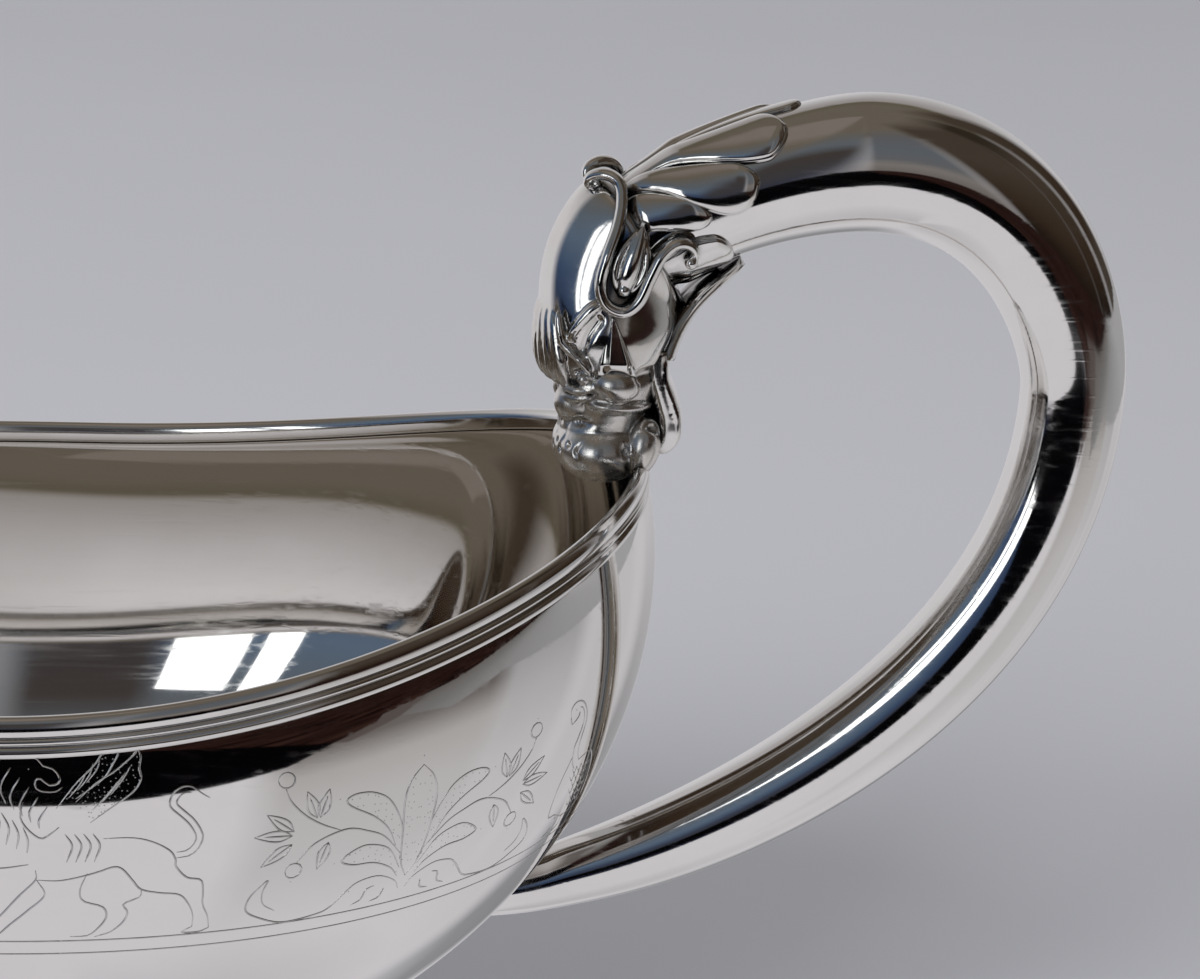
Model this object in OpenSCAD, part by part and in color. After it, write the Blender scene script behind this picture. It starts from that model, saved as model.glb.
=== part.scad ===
// Silver sauce boat on an oval foot, with a loop handle that grows out of a beast's head.
// Millimetres. The origin is the middle of the foot's resting face, +X points to the
// handle, -X to the spout, and +Z is up. The boat is symmetric about the plane Y = 0.

/* [Bowl] */
// Width of the bowl across its sheet, at the widest station
bowl_w = 89.2; // [86:0.2:92]
// Length of the rim from the widest station to its handle end
back_len = 60.6; // [58:0.2:64]
// Length of the rim from the widest station to the lip of the spout
front_len = 98; // [94:0.5:102]
// Distance from the foot's middle to the widest station, towards the handle
widest_x = 12; // [10:0.5:14]
// Height of the rim at its lowest place, which is the widest station
rim_low = 73; // [71:0.5:76]
// Height of the rim's handle end above its lowest place
back_rise = 12; // [10:0.5:14]
// Height of the spout's lip above the rim's lowest place
front_rise = 17; // [14:0.5:20]
// Width of the spout's channel near its lip
spout_w = 30; // [26:0.5:34]
// Depth of the bowl below the rim's lowest place
bowl_depth = 55; // [54:0.5:57]
// Thickness of the raised sheet
sheet = 1.2; // [1:0.1:1.6]

/* [Foot] */
// Half width of the foot where it rests, across the boat
foot_half_w = 27; // [25:0.5:29]
// How much longer than wide each half of the foot and its collar is
foot_stretch = 9; // [7:0.5:11]
// Half width of the foot's neck
neck_half_w = 12; // [11:0.5:13]
// Height of the flat wire that the foot rests on
foot_wire_h = 1.6; // [1.2:0.1:2]

/* [Handle] */
// Reach of the loop beyond the widest station, measured to the tube's middle
loop_reach = 104; // [101:0.5:106]
// Height of the loop's top above the rim's lowest place, measured to the tube's middle
loop_top = 42.9; // [42:0.1:44]
// Radius of the tube where it leaves the head
tube_root_r = 5.8; // [5.5:0.1:6.2]
// Radius of the tube at the loop's top
tube_top_r = 6.9; // [6.2:0.1:7.2]
// Radius of the tube at the loop's far side
tube_side_r = 5.3; // [5:0.1:5.8]
// Radius of the tube where it meets the bowl
tube_end_r = 2.4; // [2:0.1:2.8]

/* [Head] */
// Half width of the beast's head across the cheeks
cheek_r = 7.4; // [7:0.1:8]
// Thickness of the leaves that wrap the handle's root
leaf_t = 1; // [0.8:0.1:1.3]
// Radius of the wire of the side scrolls
scroll_r = 0.7; // [0.6:0.05:0.9]

/* [Hidden] */
half_w = bowl_w / 2;
bowl_bottom = rim_low - bowl_depth;
silver = "silver";
around = 72;          // stations round the rim
down = 16;            // rows from the rim to the bottom
rim_swage = 1.35;     // how far the sheet's edge lies below the moulding's top
foot_around = 64;     // stations round the foot

// ---- small helpers ----

function unit(v) = v / norm(v);
function smooth(u) = let (c = min(1, max(0, u))) c * c * (3 - 2 * c);
function bezier(p, u) =
    p[0] * pow(1 - u, 3) + p[1] * 3 * u * pow(1 - u, 2) + p[2] * 3 * u * u * (1 - u) + p[3] * pow(u, 3);
function flat(lists) = [for (list = lists) for (item = list) item];

// Faces of the band between ring number a and ring number b, each of n points.
function band(a, b, n) = flat([for (i = [0:n - 1]) let (j = (i + 1) % n)
    [[a * n + i, b * n + i, b * n + j], [a * n + i, b * n + j, a * n + j]]]);

// Middle of a ring, its area vector, and the rings turned so that their faces look outwards.
function middle(r) = [for (k = [0:2]) [for (p = r) p[k]] * [for (p = r) 1 / len(r)]];
function area_vector(r) = let (
    n = len(r),
    c = middle(r),
    x = [for (i = [0:n - 1]) cross(r[i] - c, r[(i + 1) % n] - c)])
    [for (k = [0:2]) [for (v = x) v[k]] * [for (v = x) 1]];
function turned_out(rings) = area_vector(rings[0]) * (middle(rings[1]) - middle(rings[0])) > 0
    ? rings
    : [for (r = rings) [for (i = [len(r) - 1:-1:0]) r[i]]];

// A closed solid through rings of equal size, with a flat fan on each end.
module skin(given) {
    rings = turned_out(given);
    n = len(rings[0]);
    m = len(rings);
    polyhedron(concat(flat(rings), [middle(rings[0]), middle(rings[m - 1])]), concat(
        flat([for (a = [0:m - 2]) band(a, a + 1, n)]),
        [for (i = [0:n - 1]) [m * n, i, (i + 1) % n]],
        [for (i = [0:n - 1]) [m * n + 1, (m - 1) * n + (i + 1) % n, (m - 1) * n + i]]));
}

// A closed ring-shaped solid: the rings follow one another round a loop.
module loop_skin(given) {
    rings = turned_out(given);
    n = len(rings[0]);
    m = len(rings);
    polyhedron(flat(rings), flat([for (a = [0:m - 1]) band(a, (a + 1) % m, n)]));
}

// A ring of n points round c, with half sizes a along u and b along v.
function oval(c, u, v, a, b, n) =
    [for (i = [0:n - 1]) let (t = 360 * i / n) c + u * a * cos(t) + v * b * sin(t)];

// ---- bowl ----

// Half width of the rim at q, the share of the way from the widest station to the lip:
// a full oval that draws in to the spout's channel and closes in a round lip.
function front_half(q) =
    (spout_w / 2 + (half_w - spout_w / 2) * pow(1 - pow(q, 2.4), 2.2)) * sqrt(max(0, 1 - pow(q, 8)));

// A point of the rim at angle t, from 0 at the handle end to 180 at the spout's lip. The
// handle half is a full oval in plan, and both halves rise in an even curve.
rim_fullness = 2.11;
function rim_half(t) = t <= 90
    ? let (c = pow(max(0, cos(t)), 2 / rim_fullness), s = pow(max(0, sin(t)), 2 / rim_fullness))
        [widest_x + back_len * c, half_w * s, rim_low + back_rise * pow(c, 2.01)]
    : let (q = sin(t - 90))
        [widest_x - front_len * q, front_half(q), rim_low + front_rise * pow(q, 2.6)];
function rim(t) = t <= 180 ? rim_half(t) : let (p = rim_half(360 - t)) [p[0], -p[1], p[2]];

// How far station t belongs to the spout, whose keel rises in a straighter line.
function spoutness(t) = smooth((90 - abs(180 - t)) / 90);

// A point of the bowl's outer skin: u runs from 0 at the rim to 1 at the bottom's middle.
// The wall stands almost upright under the rim and swells a little before it draws in.
wall_fullness = 2.33;
keel_fullness = 1.35;
belly = 0.033;
function fullness(t) = wall_fullness + (keel_fullness - wall_fullness) * spoutness(t);
function hull_drop(t, u) = pow(sin(90 * u), 2 / fullness(t));
function hull_share(t, u) =
    pow(max(0, cos(90 * u)), 0.8) * (1 + belly * sin(180 * pow(hull_drop(t, u), 0.66)));
function hull_point(t, u) = let (r = rim(t), d = hull_drop(t, u), k = hull_share(t, u))
    [r[0] * k, r[1] * k, r[2] + (bowl_bottom - r[2]) * d];

// Height of the outer skin over a place in plan: first the station that lies in its
// direction, then the depth at which the skin has drawn in that far.
function station_at(a, low = 0, high = 180, n = 14) = let (m = (low + high) / 2, p = rim(m))
    n == 0 ? m : atan2(p[1], p[0]) < a ? station_at(a, m, high, n - 1) : station_at(a, low, m, n - 1);
function depth_at(t, share, low = 0.3, high = 1, n = 14) = let (m = (low + high) / 2)
    n == 0 ? m
    : hull_share(t, m) > share ? depth_at(t, share, m, high, n - 1)
    : depth_at(t, share, low, m, n - 1);
function hull_height(x, y) = let (
    t = station_at(atan2(abs(y), x)),
    r = rim(t),
    u = depth_at(t, norm([x, y]) / norm([r[0], r[1]])))
    hull_point(t, u)[2];

// Outward normal of the outer skin, from its neighbours a little way off.
function hull_normal(t, u) = let (
    e = 0.5,
    w = min(0.985, max(0.015, u)),
    a = hull_point(t + e, w) - hull_point(t - e + (t < e ? 360 : 0), w),
    b = hull_point(t, w + 0.01) - hull_point(t, w - 0.01))
    unit(cross(b, a));

module bowl() {
    rows = [for (j = [0:down - 1]) j / down];
    turn = [for (i = [0:around - 1]) 360 * i / around];
    function edge_drop(u) = [0, 0, rim_swage * pow(1 - u, 6)];
    // The inset is level along the edge, so that both skins end at one height.
    function inset(t, u) = let (v = sheet * hull_normal(t, u)) [v[0], v[1], u == 0 ? 0 : v[2]];
    outside = [for (u = rows) [for (t = turn) hull_point(t, u) - edge_drop(u)]];
    inside = [for (u = rows) [for (t = turn) hull_point(t, u) - inset(t, u) - edge_drop(u)]];
    n = around;
    m = down;
    last = 2 * m * n;
    color(silver) polyhedron(
        concat(flat(outside), flat(inside), [[0, 0, bowl_bottom], [0, 0, bowl_bottom + sheet]]),
        concat(
            flat([for (a = [0:m - 2]) band(a + 1, a, n)]),
            flat([for (a = [0:m - 2]) band(m + a, m + a + 1, n)]),
            band(0, m, n),
            [for (i = [0:n - 1]) [last, (m - 1) * n + i, (m - 1) * n + (i + 1) % n]],
            [for (i = [0:n - 1]) [last + 1, (2 * m - 1) * n + (i + 1) % n, (2 * m - 1) * n + i]]));
}

// Outward direction of the rim in plan.
function rim_out(t) = let (a = rim(t + 0.5), b = rim(t - 0.5 + (t < 0.5 ? 360 : 0)))
    unit([a[1] - b[1], b[0] - a[0], 0]);

// Section of the applied moulding, as [outwards, up] from the sheet's outer top edge: a broad
// bead that is flush with the sheet on the inside, a narrow fillet and a reed.
rim_section = [
    [-sheet, -rim_swage], [-sheet, -0.2], [-0.95, 0.45], [-0.45, 0.7], [0.1, 0.5], [0.5, -0.3],
    [0.3, -1], [0.7, -1.2], [0.7, -1.7], [0.35, -1.9], [0.7, -2.3], [0.65, -3], [0.1, -3.4],
    [0, -rim_swage]];

module rim_moulding() {
    stations = 90;
    color(silver) loop_skin([for (i = [0:stations - 1]) let (t = 360 * i / stations)
        [for (s = rim_section) rim(t) + s[0] * rim_out(t) + [0, 0, s[1]]]]);
}

// ---- foot ----

// Outline of the foot and its collar at half width w.
function foot_oval(w, n) =
    [for (i = [0:n - 1]) let (t = 360 * i / n) [(w + foot_stretch) * cos(t), w * sin(t)]];
module foot_plate(outer, inner) {
    difference() {
        polygon(foot_oval(outer, foot_around));
        polygon(foot_oval(inner, foot_around));
    }
}
// A ring-shaped solid of the foot, from a closed section of [half width, height].
module foot_ring(section) {
    loop_skin([for (i = [0:foot_around - 1]) let (t = 360 * i / foot_around)
        [for (s = section) [(s[0] + foot_stretch) * cos(t), s[0] * sin(t), s[1]]]]);
}

knop_low = 12.4;      // height where the foot ends and the collar begins
foot_wire_w = 4;      // width of the flat wire

module foot_rim() {
    color(silver) linear_extrude(foot_wire_h) foot_plate(foot_half_w, foot_half_w - foot_wire_w);
}

// The spun foot: a step, then a hollow sweep up to the neck.
module foot() {
    t = sheet;
    steps = 6;
    z0 = foot_wire_h;
    z1 = z0 + 1.9;
    w1 = foot_half_w - 2.8;
    sweep = [for (i = [0:steps]) let (a = 90 * i / steps)
        [neck_half_w + (w1 - neck_half_w) * (1 - sin(a)), z1 + (knop_low - z1) * (1 - cos(a))]];
    hollow = [for (i = [steps:-1:0]) sweep[i] - [t * cos(75 * i / steps), t * sin(75 * (1 - i / steps))]
        - [0, i == steps ? 0 : 0.15]];
    color(silver) foot_ring(concat(
        [[foot_half_w - 0.6, z0], [foot_half_w - 0.4, z0 + 0.9], [foot_half_w - 1.4, z0 + 1.7]],
        sweep, [[neck_half_w - t, knop_low]], [for (i = [1:steps]) hollow[i]],
        [[foot_half_w - 3.6, z0 + 0.2], [foot_half_w - 3.6, z0]]));
}

// The collar: a round knop, then a flare that carries the bowl.
module foot_collar() {
    w = neck_half_w;
    z = knop_low;
    knop_h = 3.4;
    solder = 0.05;
    knop = [[w + 0.4, z], [w + 1.5, z + 0.5], [w + 2, z + 1.3], [w + 1.5, z + 2.1], [w + 0.6, z + 2.6],
        [w + 0.9, z + knop_h]];
    // A ring that follows the bowl's underside, or lies halfway between it and the knop.
    function under_bowl(half) = [for (p = foot_oval(half, foot_around))
        [p[0], p[1], hull_height(p[0], p[1]) + solder]];
    halfway = [for (p = foot_oval(w + 2, foot_around))
        [p[0], p[1], (hull_height(p[0], p[1]) + z + knop_h) / 2]];
    color(silver) skin(concat(
        [for (s = knop) [for (p = foot_oval(s[0], foot_around)) [p[0], p[1], s[1]]]],
        [halfway, under_bowl(w + 3.4), under_bowl(w + 2.4), under_bowl(0.3)]));
}

// ---- handle ----

// A place in the handle's plane: x from the widest station and z from the lowest rim.
function place(x, z) = [widest_x + x, 0, rim_low + z];

// The tube's middle line in three sweeps, from the head over the top, down the far side,
// and back under to the bowl, with its radius at the same places.
loop_line = [
    [place(59.5, 35), place(69.5, 41.5), place(79, loop_top), place(82, loop_top)],
    [place(82, loop_top), place(99, loop_top), place(loop_reach, 26), place(loop_reach, 20)],
    [place(loop_reach, 20), place(loop_reach, -12.5), place(69, -33), place(44, -37.2)]];
loop_r = [
    [tube_root_r, tube_root_r + 0.4, tube_top_r, tube_top_r],
    [tube_top_r, tube_top_r, tube_side_r, tube_side_r],
    [tube_side_r, tube_side_r, tube_side_r + 0.5, tube_end_r]];

// s runs from 0 at the head to 3 at the bowl.
function sweep_of(s) = min(2, floor(s));
function loop_point(s) = bezier(loop_line[sweep_of(s)], s - sweep_of(s));
function loop_radius(s) = bezier(loop_r[sweep_of(s)], s - sweep_of(s));
function loop_along(s) = unit(loop_point(min(3, s + 0.01)) - loop_point(max(0, s - 0.01)));
function loop_out(s) = let (d = loop_along(s)) [-d[2], 0, d[0]];

// Outward normal of the bowl where the tube lands on it.
landing = unit([0.75, 0, -0.66]);

// The tube is a little narrower across the boat than in the handle's plane.
tube_flat = 0.97;
function tube_ring(s, n) =
    oval(loop_point(s), loop_out(s), [0, 1, 0], loop_radius(s), loop_radius(s) * tube_flat, n);

module handle_loop() {
    steps = 51;
    // The last rings lean over, so that the tube's end lies against the bowl's wall.
    lean_from = 2.85;
    color(silver) skin([for (i = [0:steps]) let (s = 3 * i / steps, c = loop_point(s), d = loop_along(s))
        [for (p = tube_ring(s, 24))
            p - d * ((p - c) * landing) / (d * landing) * smooth((s - lean_from) / (3 - lean_from))]]);
}

// How far the leaves reach along the loop at angle a from its outer side: seven round lobes.
function leaf_reach(a) = 0.47 - 0.37 * smooth(a / 180) + 0.06 * abs(cos(a * 4.3));

module leaf_calyx() {
    n = 56;
    steps = 8;
    angle = [for (i = [0:n - 1]) 360 * i / n];
    function ring(k, lift) = [for (a = angle) let (s = leaf_reach(min(a, 360 - a)) * k / steps + 0.01)
        loop_point(s) + (loop_radius(s) + lift) * (loop_out(s) * cos(a) + [0, tube_flat, 0] * sin(a))];
    rows = [for (k = [0:steps]) ring(k, leaf_t * (k == 0 ? 0.4 : k == steps ? 0.5 : 1))];
    under = [for (k = [steps:-1:0]) ring(k, 0.02)];
    color(silver) loop_skin(concat(rows, under));
}

// ---- head ----

// Sections of the head from the nape to the muzzle: middle [x, z], lean of the section in
// degrees, half depth and half width. The beast looks down and bites the rim.
head_sections = [
    [[59.9, 35.2], 57, 6.6, 6.4],
    [[59.3, 34.8], 54, 7.6, 7],
    [[58.2, 33], 44, 8.1, 7.2],
    [[57.2, 29.8], 28, 8.1, 7.2],
    [[56.4, 26], 12, 7.3, cheek_r],
    [[56.2, 22.6], 3, 6.6, cheek_r],
    [[56.8, 19.6], 0, 5.6, 7],
    [[56.4, 17], 0, 5.1, 6.3],
    [[56.3, 14], 0, 4.9, 6.5],
    [[56.4, 11.6], 0, 4.3, 5.7],
    [[56.5, 9.9], 0, 2.9, 4.1],
    [[56.5, 9.2], 0, 1, 1.6]];

module beast_head() {
    color(silver) skin([for (h = head_sections)
        oval(place(h[0][0], h[0][1]), [-cos(h[1]), 0, sin(h[1])], [0, -1, 0], h[2], h[3], 28)]);
}

// The lower jaw: a throat that runs down outside the rim and curls out at its foot, as
// middle [x, z], half depth and half width.
jaw_sections = [
    [[61.5, 24.2], 1.3, 4.8],
    [[61.5, 21.3], 1.3, 4.7],
    [[62.2, 19], 1.4, 4.6],
    [[62.8, 17], 1.45, 4.5],
    [[62.8, 15.2], 1.35, 4.4],
    [[62, 13.8], 1.1, 4],
    [[61, 13.1], 0.5, 3.2]];
module lower_jaw() {
    color(silver) skin([for (h = jaw_sections)
        oval(place(h[0][0], h[0][1]), [-1, 0, 0], [0, -1, 0], h[1], h[2], 20)]);
}

// The direction square to d in the handle's plane.
function turned(d) = unit([-d[2], 0, d[0]]);

// A leaf under the neck that curls away from the tube at its tip.
leaf_line = [place(62.4, 23.4), place(63.9, 29.2), place(67, 30.8), place(69.8, 32.6)];
module throat_leaf() {
    steps = 8;
    color(silver) skin([for (i = [0:steps]) let (u = i / steps,
        d = bezier(leaf_line, min(1, u + 0.02)) - bezier(leaf_line, max(0, u - 0.02)))
        oval(bezier(leaf_line, u), turned(d), [0, -1, 0], 0.9 - 0.4 * u, 4.6 * sqrt(1.02 - u * u), 16)]);
}

// A pointed ear on each cheek: share of its height, half width along the cheek and half depth.
ear_sections = [[0, 1.8, 1.1], [0.3, 1.7, 1.1], [0.6, 1.2, 0.8], [0.85, 0.7, 0.5], [1, 0.25, 0.25]];
module ear(side) {
    color(silver) skin([for (s = ear_sections)
        oval(place(57.1 - 0.6 * s[0], 22.3 + 5.9 * s[0]) + [0, side * (cheek_r + 0.1), 0],
            [side, 0, 0], [0, -1, 0], s[1], s[2], 16)]);
}
module ear_left() { ear(-1); }
module ear_right() { ear(1); }

// ---- scrolls and buds ----

// The ribbon starts as a small volute high on the nape, runs down the side of the neck, turns
// round the bud and rises again. s runs from 0 to 3.
scroll_line = [
    [[54.1, 40.2], [53.4, 42.4], [57.6, 42.8], [56.9, 38.5]],
    [[56.9, 38.5], [56.4, 34.5], [53.2, 29.4], [57.5, 29.2]],
    [[57.5, 29.2], [60.6, 29.2], [60.2, 36.2], [64, 36.5]]];
function scroll_point(s) = let (p = bezier(scroll_line[sweep_of(s)], s - sweep_of(s))) place(p[0], p[1]);
module scroll(side) {
    steps = 30;
    color(silver) skin([for (i = [0:steps]) let (s = 3 * i / steps,
        d = scroll_point(min(3, s + 0.02)) - scroll_point(max(0, s - 0.02)))
        oval(scroll_point(s) + [0, side * (2.6 + 4.7 * smooth(s)), 0], turned(d) * side, [0, 1, 0],
            scroll_r, scroll_r * 1.3, 12)]);
}
module scroll_left() { scroll(-1); }
module scroll_right() { scroll(1); }

module bud(side) {
    steps = 10;
    tilt = 21;            // how far the bud leans towards the handle
    length = 6.4;
    color(silver) skin([for (i = [0:steps]) let (
        u = i / steps,
        w = 0.15 + 1.5 * pow(sin(180 * pow(u, 0.8)), 0.7))
        oval(place(57.3 + length * sin(tilt) * u, 30.2 + length * cos(tilt) * u) + [0, side * 7, 0],
            [side * cos(tilt), 0, -side * sin(tilt)], [0, -1, 0], w, w * 0.8, 16)]);
}
module bud_left() { bud(-1); }
module bud_right() { bud(1); }

bowl();
rim_moulding();
foot_collar();
foot();
foot_rim();
handle_loop();
leaf_calyx();
beast_head();
lower_jaw();
throat_leaf();
ear_left();
ear_right();
scroll_left();
scroll_right();
bud_left();
bud_right();
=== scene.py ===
"""Looks of a silver sauce boat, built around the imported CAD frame.

Lengths are in millimetres until make_object() turns them into metres. The frame is the
CAD's: the origin is the middle of the foot's resting face, +X points to the handle, -X to
the spout, and the boat is symmetric about Y = 0.
"""

import bmesh
import bpy
import numpy as np
from mathutils import Matrix, Vector


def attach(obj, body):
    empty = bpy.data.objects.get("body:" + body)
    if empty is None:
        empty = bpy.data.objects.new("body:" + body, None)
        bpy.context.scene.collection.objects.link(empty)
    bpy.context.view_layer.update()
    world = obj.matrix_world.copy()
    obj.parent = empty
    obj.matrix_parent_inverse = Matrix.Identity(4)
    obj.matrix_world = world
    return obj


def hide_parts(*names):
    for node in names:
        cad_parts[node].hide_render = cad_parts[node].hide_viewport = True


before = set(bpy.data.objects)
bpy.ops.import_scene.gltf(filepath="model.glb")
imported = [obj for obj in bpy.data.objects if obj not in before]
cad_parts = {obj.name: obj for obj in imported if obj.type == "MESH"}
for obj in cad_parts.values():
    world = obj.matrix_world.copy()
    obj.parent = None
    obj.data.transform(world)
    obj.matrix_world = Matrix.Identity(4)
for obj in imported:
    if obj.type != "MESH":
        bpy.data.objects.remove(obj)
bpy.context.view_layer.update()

# ---- dimensions shared with the CAD ----

HALF_W = 44.6
BACK_LEN = 60.6
FRONT_LEN = 98.0
WIDEST_X = 12.0
RIM_LOW = 73.0
BACK_RISE = 12.0
BACK_RISE_POWER = 2.01
RIM_FULLNESS = 2.11
FRONT_RISE = 17.0
FRONT_RISE_POWER = 2.6
SPOUT_HALF = 15.0
WALL_FULLNESS = 2.33
SPOUT_SLACKNESS = 0.98  # how much less full the wall is below the spout
WALL_TAPER = 0.8
BELLY = 0.033  # share by which the wall swells below the rim
RIM_TUCK = 1.35  # drop of the skin's upper edge under the moulding
BOWL_BOTTOM = 18.0
SHEET = 1.2
FOOT_HALF_W = 27.0
FOOT_STRETCH = 9.0
NECK_HALF_W = 12.0
FOOT_WIRE_H = 1.6
KNOP_LOW = 12.4
CHEEK_R = 7.4
HANDLE_PLACE = np.array([WIDEST_X, 0.0, RIM_LOW])  # widest station at the height of the lowest rim

# ---- camera and lamp ----

CAMERA_PLACE = (54.66, -284.63, 175.07)
CAMERA_TURN = (-2.74, 18.22, 1.98)  # azimuth, elevation and roll in degrees
CAMERA_LENS = 88.1
LAMP_PLACE = (-1260, -1560, 1380)
LAMP_TARGET = (60, 60, 20)
LAMP_SIZE = (1300, 1300)
LAMP_POWER = 48

MM = 0.001
TAU = 2 * np.pi
# HOLLOW_REACH sets how far the painted shade in hollows reaches.
HOLLOW_REACH = 1.8  # how far a hollow's walls stand from each other where it starts to darken
SCRATCH_DEPTH = 0.004


# ---- numbers and curves ----

def smooth(u):
    c = np.clip(u, 0, 1)
    return c * c * (3 - 2 * c)


def unit(v):
    v = np.asarray(v, float)
    return v / np.maximum(np.linalg.norm(v, axis=-1, keepdims=True), 1e-12)


def spline(points, count):
    """count points on a smooth curve through the given ones."""
    p = np.asarray(points, float)
    p = np.vstack([2 * p[0] - p[1], p, 2 * p[-1] - p[-2]])
    spans = len(p) - 3
    u = np.linspace(0, spans, count)
    i = np.minimum(u.astype(int), spans - 1)
    f = (u - i)[:, None]
    a, b, c, d = p[i], p[i + 1], p[i + 2], p[i + 3]
    return 0.5 * (2 * b + (c - a) * f + (2 * a - 5 * b + 4 * c - d) * f**2 + (3 * b - a - 3 * c + d) * f**3)


def cubic(a, b, c, d, u):
    """A cubic Bezier curve's value at u, for points or plain numbers."""
    return a * (1 - u)**3 + b * 3 * u * (1 - u)**2 + c * 3 * u**2 * (1 - u) + d * u**3


def run_length(points):
    """Length from the first point to each point."""
    return np.concatenate([[0], np.cumsum(np.linalg.norm(np.diff(points, axis=0), axis=1))])


# ---- meshes ----

def grid_faces(rows, cols, start=0, wrap_rows=False):
    """Quads between rows of points; each row closes on itself."""
    r = np.arange(rows if wrap_rows else rows - 1)[:, None]
    c = np.arange(cols)[None, :]
    r2 = (r + 1) % rows
    c2 = (c + 1) % cols
    quads = np.stack([r * cols + c, r2 * cols + c, r2 * cols + c2, r * cols + c2], axis=-1)
    return (quads.reshape(-1, 4) + start).tolist()


def fan_faces(ring_start, cols, centre, flip=False):
    faces = [[centre, ring_start + (i + 1) % cols, ring_start + i] for i in range(cols)]
    return [f[::-1] for f in faces] if flip else faces


def shell(rings):
    """A closed solid through rings of equal size, with a fan on each end: (points, faces)."""
    rings = np.asarray(rings, float)
    rows, cols = rings.shape[:2]
    points = np.vstack([rings.reshape(-1, 3), rings[0].mean(0), rings[-1].mean(0)])
    faces = grid_faces(rows, cols)
    faces += fan_faces(0, cols, rows * cols, flip=True)
    faces += fan_faces((rows - 1) * cols, cols, rows * cols + 1)
    return points, faces


def loop_shell(rings):
    """A closed ring-shaped solid whose rings follow one another round a loop."""
    rings = np.asarray(rings, float)
    rows, cols = rings.shape[:2]
    return rings.reshape(-1, 3), grid_faces(rows, cols, wrap_rows=True)


def joined(shells):
    points = []
    faces = []
    total = 0
    for p, f in shells:
        points.append(p)
        faces += [[i + total for i in face] for face in f]
        total += len(p)
    return np.vstack(points), faces


def outward(mesh):
    """Turns every face to look outwards, so that the shading and the solid are right."""
    b = bmesh.new()
    b.from_mesh(mesh)
    bmesh.ops.recalc_face_normals(b, faces=b.faces)
    b.to_mesh(mesh)
    b.free()


def new_mesh(name, points, faces):
    mesh = bpy.data.meshes.new(name)
    mesh.from_pydata((np.asarray(points) * MM).tolist(), [], faces)
    return mesh


def new_object(name, data):
    thing = bpy.data.objects.new(name, data)
    bpy.context.scene.collection.objects.link(thing)
    return thing


def make_object(name, solid, material, node=None, turn=True):
    """A smooth-shaded piece that rides on the boat and stands for its CAD node."""
    mesh = new_mesh(name, *solid)
    if turn:
        outward(mesh)
    mesh.shade_smooth()
    mesh.materials.append(material)
    piece = new_object(name, mesh)
    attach(piece, "root")
    if node:
        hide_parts(node)
    return piece


def sweep(path, across, deep, up=(0, 1, 0), count=24):
    """A tube along a path: half sizes across it and along up, which may vary on the way."""
    path = np.asarray(path, float)
    along = unit(np.gradient(path, axis=0))
    side = unit(np.cross(along, np.broadcast_to(np.asarray(up, float), path.shape)))
    top = np.cross(side, along)
    across = np.broadcast_to(across, len(path))[:, None, None]
    deep = np.broadcast_to(deep, len(path))[:, None, None]
    a = np.linspace(0, TAU, count, endpoint=False)[None, :, None]
    rings = path[:, None] + side[:, None] * across * np.cos(a) + top[:, None] * deep * np.sin(a)
    return shell(rings)


def ball(centre, sizes, lean=0, count=28):
    """An ellipsoid whose X and Z half sizes lean by an angle in the handle's plane."""
    a = np.linspace(0.06, np.pi - 0.06, count)[:, None]
    b = np.linspace(0, TAU, count * 2, endpoint=False)[None, :]
    p = np.stack([np.sin(a) * np.cos(b), np.sin(a) * np.sin(b), np.cos(a) + 0 * b], axis=-1)
    p = p * np.asarray(sizes)
    c, s = np.cos(np.radians(lean)), np.sin(np.radians(lean))
    p = np.stack([p[..., 0] * c + p[..., 2] * s, p[..., 1], p[..., 2] * c - p[..., 0] * s], axis=-1)
    return shell(p + np.asarray(centre, float))


# ---- materials ----

def new_material(name):
    m = bpy.data.materials.new(name)
    m.use_nodes = True
    tree = m.node_tree
    return m, tree, tree.nodes["Principled BSDF"]


def fill(tree, node, *values, **named):
    """Sets a node's sockets, in order or by name, to plain values or to other sockets."""
    sockets = [*zip(node.inputs, values)]
    sockets += [(node.inputs[name.replace("_", " ")], value) for name, value in named.items()]
    for socket, value in sockets:
        if isinstance(value, bpy.types.NodeSocket):
            tree.links.new(value, socket)
        else:
            socket.default_value = value
    return node


def add(tree, kind, *values, **named):
    return fill(tree, tree.nodes.new("ShaderNode" + kind), *values, **named)


def object_coords(tree):
    return add(tree, "TexCoord").outputs["Object"]


def noise(tree, coords, scale, detail=2, roughness=0.5):
    n = add(tree, "TexNoise", Vector=coords, Scale=scale, Detail=detail, Roughness=roughness)
    return n.outputs["Fac"]


def ramp(tree, value, stops):
    r = add(tree, "ValToRGB", Fac=value)
    while len(r.color_ramp.elements) < len(stops):
        r.color_ramp.elements.new(0.5)
    for e, (place, colour) in zip(r.color_ramp.elements, stops):
        e.position = place
        e.color = (*colour, 1)
    return r.outputs["Color"]


def grey(v):
    return (v, v, v)


def stretched(tree, coords, turn, scale):
    return add(tree, "Mapping", Vector=coords, Rotation=turn, Scale=scale).outputs["Vector"]


def math_node(tree, operation, *values):
    n = add(tree, "Math", *values)
    n.operation = operation
    return n.outputs[0]


def mix_node(tree, a, b, share, blend="MIX"):
    n = add(tree, "Mix")
    n.data_type = "RGBA"
    n.blend_type = blend
    return fill(tree, n, Factor=share, A=a, B=b).outputs["Result"]


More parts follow.
